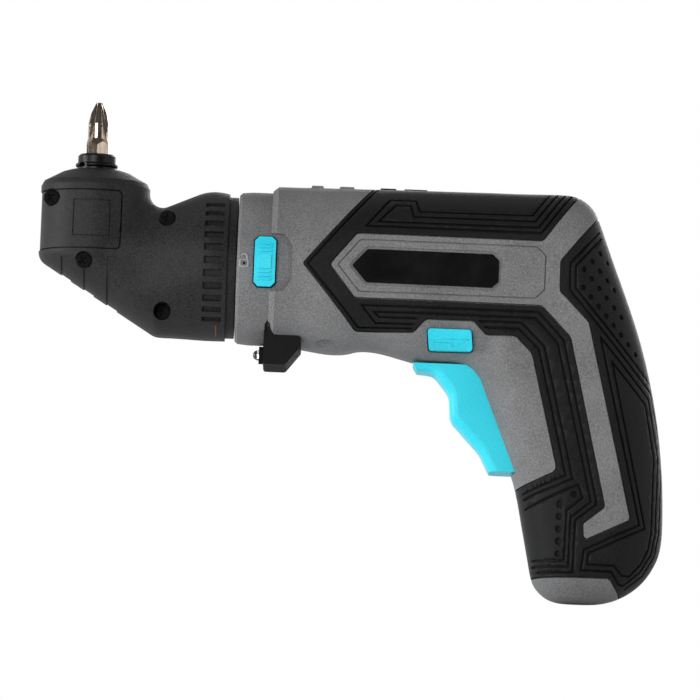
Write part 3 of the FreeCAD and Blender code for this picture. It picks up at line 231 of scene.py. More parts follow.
# Cast epoxy: clear and glossy, with the faintest haze inside.
clear_epoxy, epoxy_tree, epoxy_shader, epoxy_place = new_finish("clear_epoxy_cast")
haze = add(epoxy_tree, "TexNoise", {"Vector": epoxy_place, "Scale": 1 / EPOXY_HAZE}).outputs[0]
epoxy_gloss = add(epoxy_tree, "MapRange", {0: haze, 3: EPOXY_SMOOTH, 4: EPOXY_ROUGH}).outputs[0]
set_shader(epoxy_tree, epoxy_shader, Base_Color=linear("#f2f6f8"), Roughness=epoxy_gloss)
set_shader(epoxy_tree, epoxy_shader, IOR=1.52, Transmission_Weight=1.0)
dress(clear_epoxy, "lamp")
cup = turned("lamp_cup", CUP, CUP_SIDES, (LAMP_FRONT, 0, LAMP_AXIS_Z))
# Silver plating: the brightest of the metals here, a little soft from the stamping under it.
silver_plate = metal("silver_plated_frame", "#c9c9c6", "#e2e1dc", 0.5 * MM, 0.002 * MM, 0.16)
cup.data.materials.append(silver_plate)
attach(cup, "housing")

# Controls: lock slider, direction bar and trigger, moulded in cyan ABS with a fine satin skin.
# The colour runs right through, so edges and ribs are as bright as the faces.
# Cyan ABS: clear and strong in colour, with a soft sheen that never turns to a sharp glint.
cyan_abs = moulded("cyan_abs_satin", "#24cde4", "#3ce4f8", 0.4 * MM, 0.03 * MM, 0.42, 0.3)
dress(cyan_abs, "lock_slider", "direction_bar", "trigger")

# Direction arrows: a half arrow moulded in fine line on each end of the direction bar.
# It points back on the left and forwards on the right, as the bar is pushed.
BAR_MIDDLE = Vector((102.8, 0, -65.9)) * MM
ARROW = [(-4.9, 0.2), (5.3, 0.2), (0.5, -1.9), (0.5, -0.9), (-4.9, -0.9)]
ARROW_LINE = 0.17 * MM
CLEAR_OF_PART = 100


def skin_tree(node):
    """A CAD node's faces, ready to be met by a ray."""
    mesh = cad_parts[node].data
    return BVHTree.FromPolygons([v.co for v in mesh.vertices], [tuple(f.vertices) for f in mesh.polygons])


def skin_of(side, *names):
    """The skin of CAD nodes on one side, as a function that gives the point of it at x and z."""
    skins = [skin_tree(name) for name in names]

    def meet(x, z):
        start = Vector((x, side * CLEAR_OF_PART * MM, z))
        hits = [skin.ray_cast(start, Vector((0, -side, 0)))[0] for skin in skins]
        return max((hit for hit in hits if hit), key=lambda hit: side * hit.y)

    return meet


def raised_line(name, meet, middle, outline, radius, closed, lift=0.0):
    """A thin round line on a skin, or lifted off it: the outline is in mm about the middle."""
    curve = bpy.data.curves.new(name, "CURVE")
    curve.dimensions = "3D"
    curve.bevel_depth = radius
    curve.bevel_resolution = 2
    curve.use_fill_caps = True
    spline = curve.splines.new("POLY")
    spline.points.add(len(outline) - 1)
    for point, (x, z) in zip(spline.points, outline):
        foot = meet(middle.x + x * MM, middle.z + z * MM)
        point.co = (foot.x, foot.y + math.copysign(lift, foot.y), foot.z, 1.0)
    spline.use_cyclic_u = closed
    piece = bpy.data.objects.new(name, curve)
    bpy.context.scene.collection.objects.link(piece)
    return piece


for side, end in ((-1, "left"), (1, "right")):
    pointed = [(-side * x, z) for x, z in ARROW]
    bar_end = skin_of(side, "direction_bar")
    arrow = raised_line(f"direction_arrow_{end}", bar_end, BAR_MIDDLE, pointed, ARROW_LINE, True)
    arrow.data.materials.append(cyan_abs)
    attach(arrow, "direction")

# Slider's gap shade: a thin black cord round the foot of the slider's cap, painted shade for the shadow in
# the gap.
# It shows as the dark line between the cyan cap and the grey housing, and moves with the slider.
CAP_MIDDLE = Vector((49.4, 0, -46.0)) * MM
SHADE_LINE = 0.2 * MM
SHADE_HALF = 3.15
SHADE_REACH = 7.25
SHADE_CORNER = 1.2
SHADE_COUNT = 4
SHADE_STEPS = [(SHADE_REACH - SHADE_CORNER) * step / SHADE_COUNT for step in range(-SHADE_COUNT, SHADE_COUNT + 1)]
shade_front = [(-SHADE_HALF, z) for z in SHADE_STEPS]
shade_top = [(SHADE_CORNER - SHADE_HALF, SHADE_REACH), (SHADE_HALF - SHADE_CORNER, SHADE_REACH)]
shade_back = [(SHADE_HALF, -z) for z in SHADE_STEPS]
shade_foot = [(SHADE_HALF - SHADE_CORNER, -SHADE_REACH), (SHADE_CORNER - SHADE_HALF, -SHADE_REACH)]
shade_outline = shade_front + shade_top + shade_back + shade_foot
nose = skin_of(-1, "housing_left")
gap_shade = raised_line("slider_gap_shade", nose, CAP_MIDDLE, shade_outline, SHADE_LINE, True, SHADE_LINE)
# Painted shade: dead black and matt, with a faint mottle, for the shadow in the slider's gap.
gap_shade_black = moulded("painted_gap_shade_black", "#050505", "#0b0b0b", 0.4 * MM, 0.01 * MM, 0.6, 0.1)
gap_shade.data.materials.append(gap_shade_black)
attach(gap_shade, "lock")

# Housing halves: two shells of grey ABS, moulded in a spark-eroded tool and screwed together on the
# middle plane. The eroded skin is finely grained, so it is matt, with pale specks where grains catch light.
grey_abs = moulded("grey_abs_spark_eroded", "#5d5d5e", "#8a8a8b", 0.45 * MM, 0.06 * MM, 0.55, 0.22)
dress(grey_abs, "housing_left", "housing_right")

# Open padlock: a sign moulded on the nose in raised line, where the slider lets the head turn.
# The keyhole is a sunk slot, and its shade is painted as a black line.
SIGN_MIDDLE = Vector((43.5, 0, -46.6)) * MM
SIGN_LINE = 0.31 * MM
CASE_RIGHT = [(0.9, 1.0), (1.15, 0.7), (1.15, -0.7), (0.9, -1.0)]
LOCK_CASE = [(-0.9, 1.0)] + CASE_RIGHT + [(-0.9, -1.0), (-1.15, -0.7), (-1.15, 0.7)]
SHACKLE_ROUND = 0.9
SHACKLE_RISE = 1.7
SHACKLE_TURNS = [math.radians(15 * step) for step in range(11)]
SHACKLE_BOW = [(math.cos(turn), math.sin(turn)) for turn in SHACKLE_TURNS]
SHACKLE = [CASE_RIGHT[0]] + [(SHACKLE_ROUND * x, SHACKLE_RISE + SHACKLE_ROUND * z) for x, z in SHACKLE_BOW]
KEYHOLE_SHADE = [(0, 0.35), (0, -0.35)]
# Polished ABS: the tool is polished where the sign is cut, so the line is smooth and glossier; its colour
# is also painted paler than the housing's grey, as a painted highlight.
polished_abs_highlight = moulded("grey_abs_polished_highlight", "#8c8c8d", "#9c9c9d", 0.8 * MM, 0.005 * MM, 0.3, 0.4)
for name, outline, closed, made in (
    ("padlock_case", LOCK_CASE, True, polished_abs_highlight),
    ("padlock_shackle", SHACKLE, False, polished_abs_highlight),
    # Painted shade: the keyhole is drawn in black for the shade in its slot.
    ("padlock_keyhole_shade", KEYHOLE_SHADE, False, black_abs),
):
    sign = raised_line(name, nose, SIGN_MIDDLE, outline, SIGN_LINE, closed)
    sign.data.materials.append(made)
    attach(sign, "housing")

# Lamp holder's tip: the thin point of the holder's side that runs up on the nose, where it clips into the
# joint behind the front ring. It is of the holder's black ABS, and flares out into the holder's top edge.
AXIS_DROP = 46.0
TIP_TOP = Vector((50.7, 0, -62.0)) * MM
TIP_LENGTH = 4.5
TIP_POINT = 1.0
TIP_HALF = 0.75
TIP_FLARE = 0.17
TIP_ROWS = 22
TIP_ACROSS = 8
TIP_RISE = 0.12 * MM
holder_side = skin_of(-1, "housing_left", "lamp_holder")
tip_corners = []
tip_faces = []
for row in range(TIP_ROWS + 1):
    drop = TIP_LENGTH * row / TIP_ROWS
    half = TIP_HALF * min(1.0, drop / TIP_POINT)
    flare = TIP_FLARE * max(0.0, drop - TIP_POINT) ** 2
    for step in range(TIP_ACROSS + 1):
        across = -half + (2 * half + flare) * step / TIP_ACROSS
        foot = holder_side(TIP_TOP.x + across * MM, TIP_TOP.z - drop * MM)
        outward = Vector((0, foot.y, foot.z + AXIS_DROP * MM)).normalized()
        tip_corners.append(foot + outward * TIP_RISE)
for row in range(TIP_ROWS):
    for step in range(TIP_ACROSS):
        here = row * (TIP_ACROSS + 1) + step
        below = here + TIP_ACROSS + 1
        tip_faces.append([here, below, below + 1, here + 1])
holder_tip = shape("lamp_holder_tip", tip_corners, tip_faces)
tip_plate = holder_tip.modifiers.new("plate", "SOLIDIFY")
tip_plate.thickness = 2 * TIP_RISE
tip_plate.offset = -1.0
holder_tip.data.materials.append(black_abs)
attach(holder_tip, "housing")

# Grips: black thermoplastic rubber moulded over the housing halves, flush with them. Grooves follow the
# edges in pairs and dots stand in rows at the heel of the hand, sunk nearly half a millimetre by the tool.
GROOVE_HALF = 0.3
GROOVE_SLOPE = 0.14
GROOVE_DEPTH = 0.45
FAR_FROM_GROOVE = 50.0
CUT_ABOVE = 0.7
CUT_STEP = 1.5
STEEPEST = 0.2
SHARPEST = 0.4
DOT_SIDES = 16
TPE_GRAIN = 0.4 * MM
TPE_GRAIN_DEPTH = 0.04 * MM
TPE_SMOOTH = 0.45
TPE_ROUGH = 0.6
WELD = 0.001 * MM
LIP = math.radians(25)
HEEL = (145.6, -72.2)
FRONT_DOT = 0.95
BACK_DOT = 0.75


def heel_arc(radius, end):
    """The round stretch of a groove about the heel, from level at the back down to an angle."""
    turns = [math.radians(end) * step / 3 for step in (1, 2, 3)]
    return [(HEEL[0] + radius * math.cos(turn), HEEL[1] - radius * math.sin(turn)) for turn in turns]


BORDER = [(83.3, 26.2), (61.6, 0.0), (76.5, -17.1), (91.8, -17.1)]
BARREL_OUTER = [
    (138.7, 27), (127.5, 11.4), (77.7, 11.5), (84.3, 19.6),
    (91.6, 19.6), (92.8, 16.3), (124.8, 16.4), (132.4, 27),
]
BARREL_INNER = [
    (136.6, 27), (126.6, 12.9), (81.1, 12.9), (86, 18),
    (90.2, 18), (91.2, 14.7), (125.7, 14.7), (134.5, 27),
]
FRONT_OUTER = [
    (92.2, -15.9), (81.4, -15.8), (77.3, -11.1), (127.6, -11.1), (135, -18.7),
    (146.1, -64.8), (140.2, -69.6), (140, -84.4), (120, -84.4),
]
FRONT_INNER = [
    (93.3, -14.3), (82.4, -14.2), (80.9, -12.8), (126.8, -12.8), (133.3, -19.6),
    (144.4, -64.2), (138.9, -68.8), (138.7, -82.8), (120, -82.8),
]
CHEEK_OUTER = [(112.4, -16), (122.1, -16), (128.1, -21.7), (137, -57), (112, -68.3)]
CHEEK_INNER = [(110.8, -14.3), (122.9, -14.3), (129.6, -20.8), (139, -57.9), (112, -70.1)]
PANEL = [(118, -70.7), (140.6, -59.4), (142, -63.2), (137.7, -66.9), (137.4, -81.1), (120, -81.1)]
BACK_FIRST = [(152, 20.2), (137.7, 2.7), (137.8, -3.7), (165, -35.1)]
BACK_SECOND = [(150.6, 20.9), (136.1, 3.3), (136.2, -4.3), (160.4, -32.1), (164.2, -49.4), (164.2, -72)]
BACK_THIRD = [
    (153.1, -86.9), (150.9, -83.7), (142.3, -83.6), (143, -77.8), (158.4, -70.1),
    (145.4, -17.4), (159.7, -33.9), (163.1, -50.3), (163.1, -72),
]
BACK_FOURTH = [
    (153.8, -84.6), (151.6, -82), (144, -81.9), (144.3, -78.8), (160, -70.9),
    (148.9, -24.2), (158.9, -35.7), (161.9, -50.9), (161.9, -72),
]
GROOVES = [
    BORDER,
    BARREL_OUTER,
    BARREL_INNER,
    FRONT_OUTER,
    FRONT_INNER,
    CHEEK_OUTER,
    CHEEK_INNER,
    PANEL,
    BACK_FIRST,
    BACK_SECOND + heel_arc(18.6, 60),
    BACK_THIRD + heel_arc(17.5, 60) + BACK_THIRD[:1],
    BACK_FOURTH + heel_arc(16.3, 50) + BACK_FOURTH[:1],
]
FRONT_PITCH = 3.5
DOTS = [(139.5, -62.3, FRONT_DOT)] + [(135.6, -65.2 - FRONT_PITCH * row, FRONT_DOT) for row in range(5)]
BACK_ROWS = [(2, 1), (1, 2), (0, 2), (1, 2), (0, 3), (1, 2), (2, 2), (3, 2), (4, 1), (5, 1), (6, 1), (7, 1)]
BACK_START = (140, 6.9)
BACK_PITCH = (2.23, 2.57)
for row, (first, count) in enumerate(BACK_ROWS):
    dot_z = BACK_START[1] - BACK_PITCH[1] * row
    dot_x = [BACK_START[0] + BACK_PITCH[0] * (first + 2 * step) for step in range(count)]
    DOTS += [(x, dot_z, BACK_DOT) for x in dot_x]


def nearest_groove(tree, place):
    """How far a point of the grip is from the nearest groove's or dot's edge, in mm, seen from the side."""
    point = add(
        tree,
        "VectorMath",
        {0: place, 1: (1 / MM, 0, 1 / MM), 2: (0, 0, AXIS_DROP)},
        operation="MULTIPLY_ADD",
    ).outputs[0]
    nearest = FAR_FROM_GROOVE
    for groove in GROOVES:
        for (x, z), (next_x, next_z) in zip(groove, groove[1:]):
            run = Vector((next_x - x, 0, next_z - z))
            offset = add(tree, "VectorMath", {0: point, 1: (x, 0, z)}, operation="SUBTRACT").outputs[0]
            along = run / run.length_squared
            share = add(tree, "VectorMath", {0: offset, 1: along}, operation="DOT_PRODUCT").outputs["Value"]
            share = add(tree, "Clamp", {0: share}).outputs[0]
            foot = add(tree, "VectorMath", {0: run, "Scale": share}, operation="SCALE").outputs[0]
            away = add(tree, "VectorMath", {0: offset, 1: foot}, operation="DISTANCE").outputs["Value"]
            nearest = add(tree, "Math", {0: nearest, 1: away}, operation="MINIMUM").outputs[0]
    nearest = add(tree, "Math", {0: nearest, 1: GROOVE_HALF}, operation="SUBTRACT").outputs[0]
    for x, z, radius in DOTS:
        away = add(tree, "VectorMath", {0: point, 1: (x, 0, z)}, operation="DISTANCE").outputs["Value"]
        away = add(tree, "Math", {0: away, 1: radius}, operation="SUBTRACT").outputs[0]
        nearest = add(tree, "Math", {0: nearest, 1: away}, operation="MINIMUM").outputs[0]
    return nearest


# Rubber: soft and nearly matt, with a fine grain, drawn coarser than it is so that it shows. Grooves and
# dots have painted shade, near black, and their lips catch a little light.
black_tpe, tpe_tree, tpe_shader, tpe_place = new_finish("black_tpe_moulded")
groove_edge = nearest_groove(tpe_tree, tpe_place)
# Painted shade: near black in the grooves and dots, for the shade that falls in them.
painted_groove_shade = add(
    tpe_tree,
    "MapRange",
    {0: groove_edge, 1: -GROOVE_SLOPE, 2: GROOVE_SLOPE, 3: 1.0, 4: 0.0},
    interpolation_type="SMOOTHSTEP",
).outputs[0]
tpe_fine = {"Vector": tpe_place, "Scale": 1 / TPE_GRAIN, "Roughness": 0.7}
tpe_specks = add(tpe_tree, "TexNoise", tpe_fine).outputs[0]
tpe_span = {0: tpe_specks, 1: NOISE_LOW, 2: NOISE_HIGH}
tpe_share = add(tpe_tree, "MapRange", tpe_span).outputs[0]
tpe_land = add(
    tpe_tree,
    "Mix",
    {0: tpe_share, 6: linear("#101011"), 7: linear("#222223")},
    data_type="RGBA",
).outputs[2]
# The land's colour, with the painted groove shade laid over it.
tpe_colour_and_shade = add(tpe_tree, "Mix", {0: painted_groove_shade, 6: tpe_land, 7: linear("#060606")}, data_type="RGBA").outputs[2]
tpe_gloss = add(tpe_tree, "MapRange", tpe_span | {3: TPE_SMOOTH, 4: TPE_ROUGH}).outputs[0]
tpe_edge = add(tpe_tree, "Bevel", {"Radius": MOULD_EDGE}, samples=4).outputs[0]
tpe_grains = {"Height": tpe_specks, "Distance": TPE_GRAIN_DEPTH, "Normal": tpe_edge}
tpe_skin = add(tpe_tree, "Bump", tpe_grains).outputs[0]
set_shader(tpe_tree, tpe_shader, Base_Color=tpe_colour_and_shade, Roughness=tpe_gloss, Normal=tpe_skin)
set_shader(tpe_tree, tpe_shader, Specular_IOR_Level=0.14)
dress(black_tpe, "grip_left", "grip_right")


def groove_runs(groove, meet):
    """A groove as runs of skin points about a step apart, broken where it leaves the grip."""
    line = []
    for (x, z), (next_x, next_z) in zip(groove, groove[1:]):
        run_x = next_x - x
        run_z = next_z - z
        steps = max(1, math.ceil(math.hypot(run_x, run_z) / CUT_STEP))
        line += [(x + run_x * step / steps, z + run_z * step / steps) for step in range(steps)]
    line.append(groove[-1])
    runs = [[]]
    for x, z in line:
        spot = meet(x, z)
        if spot:
            runs[-1].append(spot)
        elif runs[-1]:
            runs.append([])
    return [run for run in runs if len(run) > 1]


def relief_cutter(side, node):
    """The tool's raised lines and studs for one grip, which follow its skin."""
    skin = skin_tree(node)
    corners = []
    faces = []

    def meet(x, z):
        """The skin's point and outward direction at x and z; nothing off the grip or where it is steep."""
        start = Vector((x, side * CLEAR_OF_PART, z - AXIS_DROP)) * MM
        hit, normal = skin.ray_cast(start, Vector((0, -side, 0)))[:2]
        if hit is None or abs(normal.y) < STEEPEST:
            return None
        return hit, normal * math.copysign(1.0, normal.y * side)

    def join(sections, closed):
        """Close up sections of equal count into one solid."""
        count = len(sections[0])
        starts = [len(corners) + number * count for number in range(len(sections))]
        for section in sections:
            corners.extend(section)
        if closed:
            starts.append(starts[0])
        else:
            faces.append([starts[0] + corner for corner in range(count)][::-1])
            faces.append([starts[-1] + corner for corner in range(count)])
        for here, there in zip(starts, starts[1:]):
            for corner in range(count):
                beside = (corner + 1) % count
                faces.append([here + corner, here + beside, there + beside, there + corner])

    for groove in GROOVES:
        runs = groove_runs(groove, meet)
        closed = groove[0] == groove[-1] and len(runs) == 1
        for run in runs:
            if closed:
                run = run[:-1]
            sections = []
            for number, (foot, normal) in enumerate(run):
                before = run[number - 1][0] if number or closed else foot
                after = run[(number + 1) % len(run)][0] if number + 1 < len(run) or closed else foot
                into = (foot - before).normalized()
                onward = (after - foot).normalized()
                across = (into + onward).cross(normal).normalized()
                lean = across.dot((into if into.length else onward).cross(normal).normalized())
                across *= GROOVE_HALF * MM / max(SHARPEST, lean)
                high = foot + normal * CUT_ABOVE * MM
                deep = foot - normal * GROOVE_DEPTH * MM
                sections.append([high - across, high + across, deep + across, deep - across])
            join(sections, closed)
    for x, z, radius in DOTS:
        spot = meet(x, z)
        if spot:
            foot, normal = spot
            facing = normal.to_track_quat("Z", "Y").to_matrix()
            turns = [2 * math.pi * step / DOT_SIDES for step in range(DOT_SIDES)]
            rim = [facing @ Vector((math.cos(turn), math.sin(turn), 0)) * radius * MM for turn in turns]
            lifts = [normal * CUT_ABOVE * MM, -normal * GROOVE_DEPTH * MM]
            join([[foot + lift + corner for corner in rim] for lift in lifts], False)
    tool = shape("relief_cutter", corners, faces)
    shaped = bmesh.new()
    shaped.from_mesh(tool.data)
    bmesh.ops.recalc_face_normals(shaped, faces=shaped.faces)
    shaped.to_mesh(tool.data)
    shaped.free()
    return tool


# The relief is cut into a copy of each CAD grip, which then stands for it. Welding closes the copy's seams.
for side, node in ((-1, "grip_left"), (1, "grip_right")):
    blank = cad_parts[node].data.copy()
    welded = bmesh.new()
    welded.from_mesh(blank)
    bmesh.ops.remove_doubles(welded, verts=welded.verts, dist=WELD)
    welded.to_mesh(blank)
    welded.free()
    grip = bpy.data.objects.new(f"{node}_relief", blank)
    bpy.context.scene.collection.objects.link(grip)
    cutter = relief_cutter(side, node)
    pressed = grip.modifiers.new("relief", "BOOLEAN")
    pressed.operation = "DIFFERENCE"
    pressed.object = cutter
    pressed.solver = "EXACT"
    ready = grip.evaluated_get(bpy.context.evaluated_depsgraph_get())
    cut_mesh = bpy.data.meshes.new_from_object(ready)
    grip.modifiers.clear()
    grip.data = cut_mesh
    bpy.data.objects.remove(cutter)
    cut_mesh.shade_smooth()
    cut_mesh.set_sharp_from_angle(angle=LIP)
    even = grip.modifiers.new("even_skin", "WEIGHTED_NORMAL")
    even.keep_sharp = True
    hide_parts(node)
    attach(grip, "housing")

# Name plates: thin pressed strips of black acrylic, bare, stuck into the bezels.
# The face is polished, so it is darker and sharper in its reflections than the grips.
black_acrylic = moulded("black_acrylic_polished", "#0a0a0b", "#101011", 6 * MM, 0.002 * MM, 0.2, 0.25)
dress(black_acrylic, "nameplate_left", "nameplate_right")

# Angle head: two shells, a wrap-round cover and the index ring, moulded in black glass-filled nylon.
# The glass makes the skin coarse and a little grey where it faces the light.
black_nylon = moulded("black_nylon_glass_filled", "#18181a", "#353536", 0.5 * MM, 0.09 * MM, 0.52, 0.15)
dress(black_nylon, "head_left", "head_right", "head_cover", "index_ring")

# Spindle and snap ring: turned steel, blackened in hot oxide, so dark with a brown-grey sheen.
# The snap ring is sprung into a groove of the collar.
black_oxide = metal("black_oxide_steel", "#1d1d1e", "#343332", 0.2 * MM, 0.008 * MM, 0.38)
dress(black_oxide, "spindle", "snap_ring")

# Bit: hardened tool steel, ground to a hexagon, with a cross point whose four flutes run out at it.
# It pulls out of the spindle's socket. It stands for the plainer CAD bit, in the same place and size.
BIT_LENGTH = 25.0
BIT_STEP = 0.4
BIT_SIDES = 96
HEX_HALF = 6.35 / 2
FLUTE_END = 11.0
POINT_CORE = 0.75
WING_TIP = 0.5
WING_SPREAD = 0.1
WIDEST_WING = 0.7
FLUTE_CURVE = 1.3
BIT_CREASE = math.radians(28)
BIT_POINT = [(0, 0.95), (3, 2.3), (6, 2.95), (10.6, 2.95)]
BIT_PROFILE = BIT_POINT + [(11.2, 3.15), (12.2, 3.7), (24.4, 3.7), (25, 3.1)]


def profile_radius(profile, drop):
    """The radius of a profile at a distance below its top."""
    for (high, wide), (low, wider) in zip(profile, profile[1:]):
        if drop <= low:
            return wide + (wider - wide) * (drop - high) / (low - high)


def bit_radius(turn, drop):
    """The bit's radius at an angle round it and a distance below its tip, in mm."""
    from_flat = (turn + math.pi / 6) % (math.pi / 3) - math.pi / 6
    whole = min(profile_radius(BIT_PROFILE, drop), HEX_HALF / math.cos(from_flat))
    if drop >= FLUTE_END:
        return whole
    from_wing = abs((turn + math.pi / 4) % (math.pi / 2) - math.pi / 4)
    wing = math.asin(min(1.0, (WING_TIP + WING_SPREAD * drop) / whole))
    core = POINT_CORE + (whole - POINT_CORE) * (drop / FLUTE_END) ** FLUTE_CURVE
    into = max(0.0, from_wing - wing) / (math.pi / 4 - min(wing, WIDEST_WING))
    return whole - (whole - core) * math.sin(min(1.0, into) * math.pi / 2)


bit_corners = []
bit_faces = []
rings = round(BIT_LENGTH / BIT_STEP) + 1
for ring in range(rings):
    drop = min(BIT_LENGTH, ring * BIT_STEP)
    for side in range(BIT_SIDES):
        turn = 2 * math.pi * side / BIT_SIDES
        radius = bit_radius(turn, drop) * MM
        bit_corners.append((radius * math.cos(turn), radius * math.sin(turn), -drop * MM))
for ring in range(rings - 1):
    for side in range(BIT_SIDES):
        here = ring * BIT_SIDES + side
        beside = ring * BIT_SIDES + (side + 1) % BIT_SIDES
        bit_faces.append([here, here + BIT_SIDES, beside + BIT_SIDES, beside])
bit_faces.append(list(range(BIT_SIDES)))
bit_faces.append(list(range((rings - 1) * BIT_SIDES, rings * BIT_SIDES))[::-1])
bit = shape("cross_bit", bit_corners, bit_faces)
bit.data.shade_smooth()
bit.data.set_sharp_from_angle(angle=BIT_CREASE)
# Satin chrome: a warm mirror, with faint lines along it from the grinding, so highlights are drawn out.
chromed = metal("satin_chromed_steel", "#a3917f", "#c8baac", 0.5 * MM, 0.006 * MM, 0.12, draw=(1, 1, 0.12))
bit.data.materials.append(chromed)
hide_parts("bit")
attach(bit, "bit")

# Screws: small pan heads with a cross recess, blackened. Four hold the head's shells together, at the foot
# of round wells on the left, and seven the housing's from the right, let into the grip.
SCREW_RADIUS = 2.1
SCREW_THICK = 0.6 * MM
SCREW_EDGE = 0.15 * MM
CROSS_LONG = 1.35
CROSS_HALF = 0.34
RECESS_THICK = SCREW_THICK / 4
RECESS_EDGE = 0.02 * MM
ROUND_SIDES = 32
HEAD_TURN = 0.7
HOUSING_TURN = 0.9
HEAD_SCREWS = [(-12.3, 17.3, 7.6), (21.0, 12.4, 11.2), (-2.2, -0.9, 13.6), (20.7, -14.4, 9.2)]
HOUSING_SCREWS = [(84, 18.3), (84, -17.8), (114, 17), (139.5, 13.5), (155.5, -28), (131.8, -66), (155, -81)]
SCREW_SPAN = 2.8 * MM
# Black phosphate: a dull grey-black crystal coat on steel, oiled, so it hardly shines.
black_phosphate = metal("black_phosphate_steel", "#101010", "#1f1e1e", 0.25 * MM, 0.006 * MM, 0.48)


def circle(radius):
    """The corners of a round outline."""
    turns = [2 * math.pi * step / ROUND_SIDES for step in range(ROUND_SIDES)]
    return [(radius * math.cos(turn), radius * math.sin(turn)) for turn in turns]


def cross(reach, half):
    """The corners of a cross: three for each of its four arms."""
    corners = []
    for quarter in range(4):
        turn = Matrix.Rotation(quarter * math.pi / 2, 2)
        corners += [turn @ Vector(corner) for corner in ((half, -half), (reach, -half), (reach, half))]
    return corners


def cut_plate(name, outlines, thick, edge):
    """A plate cut to outlines in mm, those inside the first being holes, with softened edges."""
    plate = bpy.data.curves.new(name, "CURVE")
    plate.dimensions = "2D"
    plate.fill_mode = "BOTH"
    plate.extrude = thick / 2 - edge
    plate.bevel_depth = edge
    plate.bevel_resolution = 2
    for outline in outlines:
        spline = plate.splines.new("POLY")
        spline.points.add(len(outline) - 1)
        for point, (across, up) in zip(spline.points, outline):
            point.co = (across * MM, up * MM, 0, 1)
        spline.use_cyclic_u = True
    piece = bpy.data.objects.new(name, plate)
    bpy.context.scene.collection.objects.link(piece)
    return piece


def screw(name, seat, out, turn, body):
    """A screw head that stands on a seat and faces out, its cross turned by an angle."""
    facing = out.to_track_quat("Z", "Y").to_matrix().to_4x4() @ Matrix.Rotation(turn, 4, "Z")
    for part, outlines, thick, edge in (
        ("head", [circle(SCREW_RADIUS), cross(CROSS_LONG, CROSS_HALF)], SCREW_THICK, SCREW_EDGE),
        ("recess", [circle(CROSS_LONG)], RECESS_THICK, RECESS_EDGE),
    ):
        piece = cut_plate(f"{name}_{part}", outlines, thick, edge)
        piece.matrix_world = Matrix.Translation(seat + out * thick / 2) @ facing
        piece.data.materials.append(black_phosphate)
        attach(piece, body)


for number, (x, z, floor) in enumerate(HEAD_SCREWS, 1):
    seat = Vector((x, -floor, z - AXIS_DROP)) * MM
    screw(f"head_screw_{number}", seat, Vector((0, -1, 0)), HEAD_TURN * number, "head")
right_skin = skin_of(1, "housing_right", "grip_right")
for number, (x, z) in enumerate(HOUSING_SCREWS, 1):
    x *= MM
    z = (z - AXIS_DROP) * MM
    rear = right_skin(x + SCREW_SPAN, z)
    fore = right_skin(x - SCREW_SPAN, z)
    top = right_skin(x, z + SCREW_SPAN)
    foot = right_skin(x, z - SCREW_SPAN)
    out = (fore - rear).cross(foot - top).normalized()
    out *= math.copysign(1.0, out.y)
    seat = (rear + fore + top + foot) / 4 - out * SCREW_THICK / 2
    screw(f"housing_screw_{number}", seat, out, HOUSING_TURN * number, "housing")

# Index tick: a short stroke of marking paint on the head's neck, against the index ring.
# It is put on by a stamp at assembly, and shows which way the head is turned.
TICK_MIDDLE = Vector((36.1, 0, -64.9)) * MM
TICK = [(0, 1.3), (0, 0.4), (0, -0.5), (0, -1.3)]
TICK_LINE = 0.24 * MM
neck = skin_of(-1, "head_left", "index_ring")
tick = raised_line("index_tick", neck, TICK_MIDDLE, TICK, TICK_LINE, False)
# Marking paint: thin and dull red-brown, so it only just shows on the black.
marking_paint = moulded("red_brown_marking_paint", "#57352f", "#6d4740", 0.4 * MM, 0.01 * MM, 0.5, 0.2)
tick.data.materials.append(marking_paint)
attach(tick, "head")

# Studio floor: a pale light table that the tool stands on, which glows a little and lights it from below.
# It has no underside, so the low camera sees past it, and it fades into the white room about a metre off.
FLOOR_Z = cad_box[0][2]
FLOOR_REACH = 1.2
FADE_START = 0.35
FADE_END = 1.1
FLOOR_MOTTLE = 1 / 6
GLOW_ROUND = 0.22
GLOW_SEEN = 0.3
floor_ends = [(-1, -1), (1, -1), (1, 1), (-1, 1)]
floor_corners = [(x * FLOOR_REACH, y * FLOOR_REACH, FLOOR_Z) for x, y in floor_ends]
floor = shape("floor", floor_corners, [(0, 1, 2, 3)])
# Floor paint: white and dead flat, with the faintest mottle from the roller.
floor_paint, floor_tree, floor_shader, floor_place = new_finish("pale_floor_paint")
mottle = add(floor_tree, "TexNoise", {"Vector": floor_place, "Scale": 1 / FLOOR_MOTTLE}).outputs[0]
whites = {0: mottle, 6: linear("#f4f4f4"), 7: linear("#f8f8f8")}
pale = add(floor_tree, "Mix", whites, data_type="RGBA").outputs[2]
set_shader(floor_tree, floor_shader, Base_Color=pale, Roughness=0.9, Specular_IOR_Level=0.0)
eyed = add(floor_tree, "LightPath").outputs["Is Camera Ray"]
glow = add(floor_tree, "MapRange", {0: eyed, 3: GLOW_ROUND, 4: GLOW_SEEN}).outputs[0]
set_shader(floor_tree, floor_shader, Emission_Color=(1, 1, 1, 1), Emission_Strength=glow)
under = add(floor_tree, "NewGeometry").outputs["Backfacing"]
spread = add(floor_tree, "VectorMath", {0: floor_place}, operation="LENGTH").outputs["Value"]
fade = {0: spread, 1: FADE_START, 2: FADE_END}
ends = add(floor_tree, "MapRange", fade, interpolation_type="SMOOTHSTEP").outputs[0]
gone = add(floor_tree, "Math", {0: under, 1: ends}, operation="MAXIMUM").outputs[0]
clear = add(floor_tree, "BsdfTransparent").outputs[0]
seen_side = add(floor_tree, "MixShader", {0: gone, 1: floor_shader.outputs[0], 2: clear}).outputs[0]
floor_tree.links.new(seen_side, floor_tree.nodes["Material Output"].inputs["Surface"])
floor.data.materials.append(floor_paint)

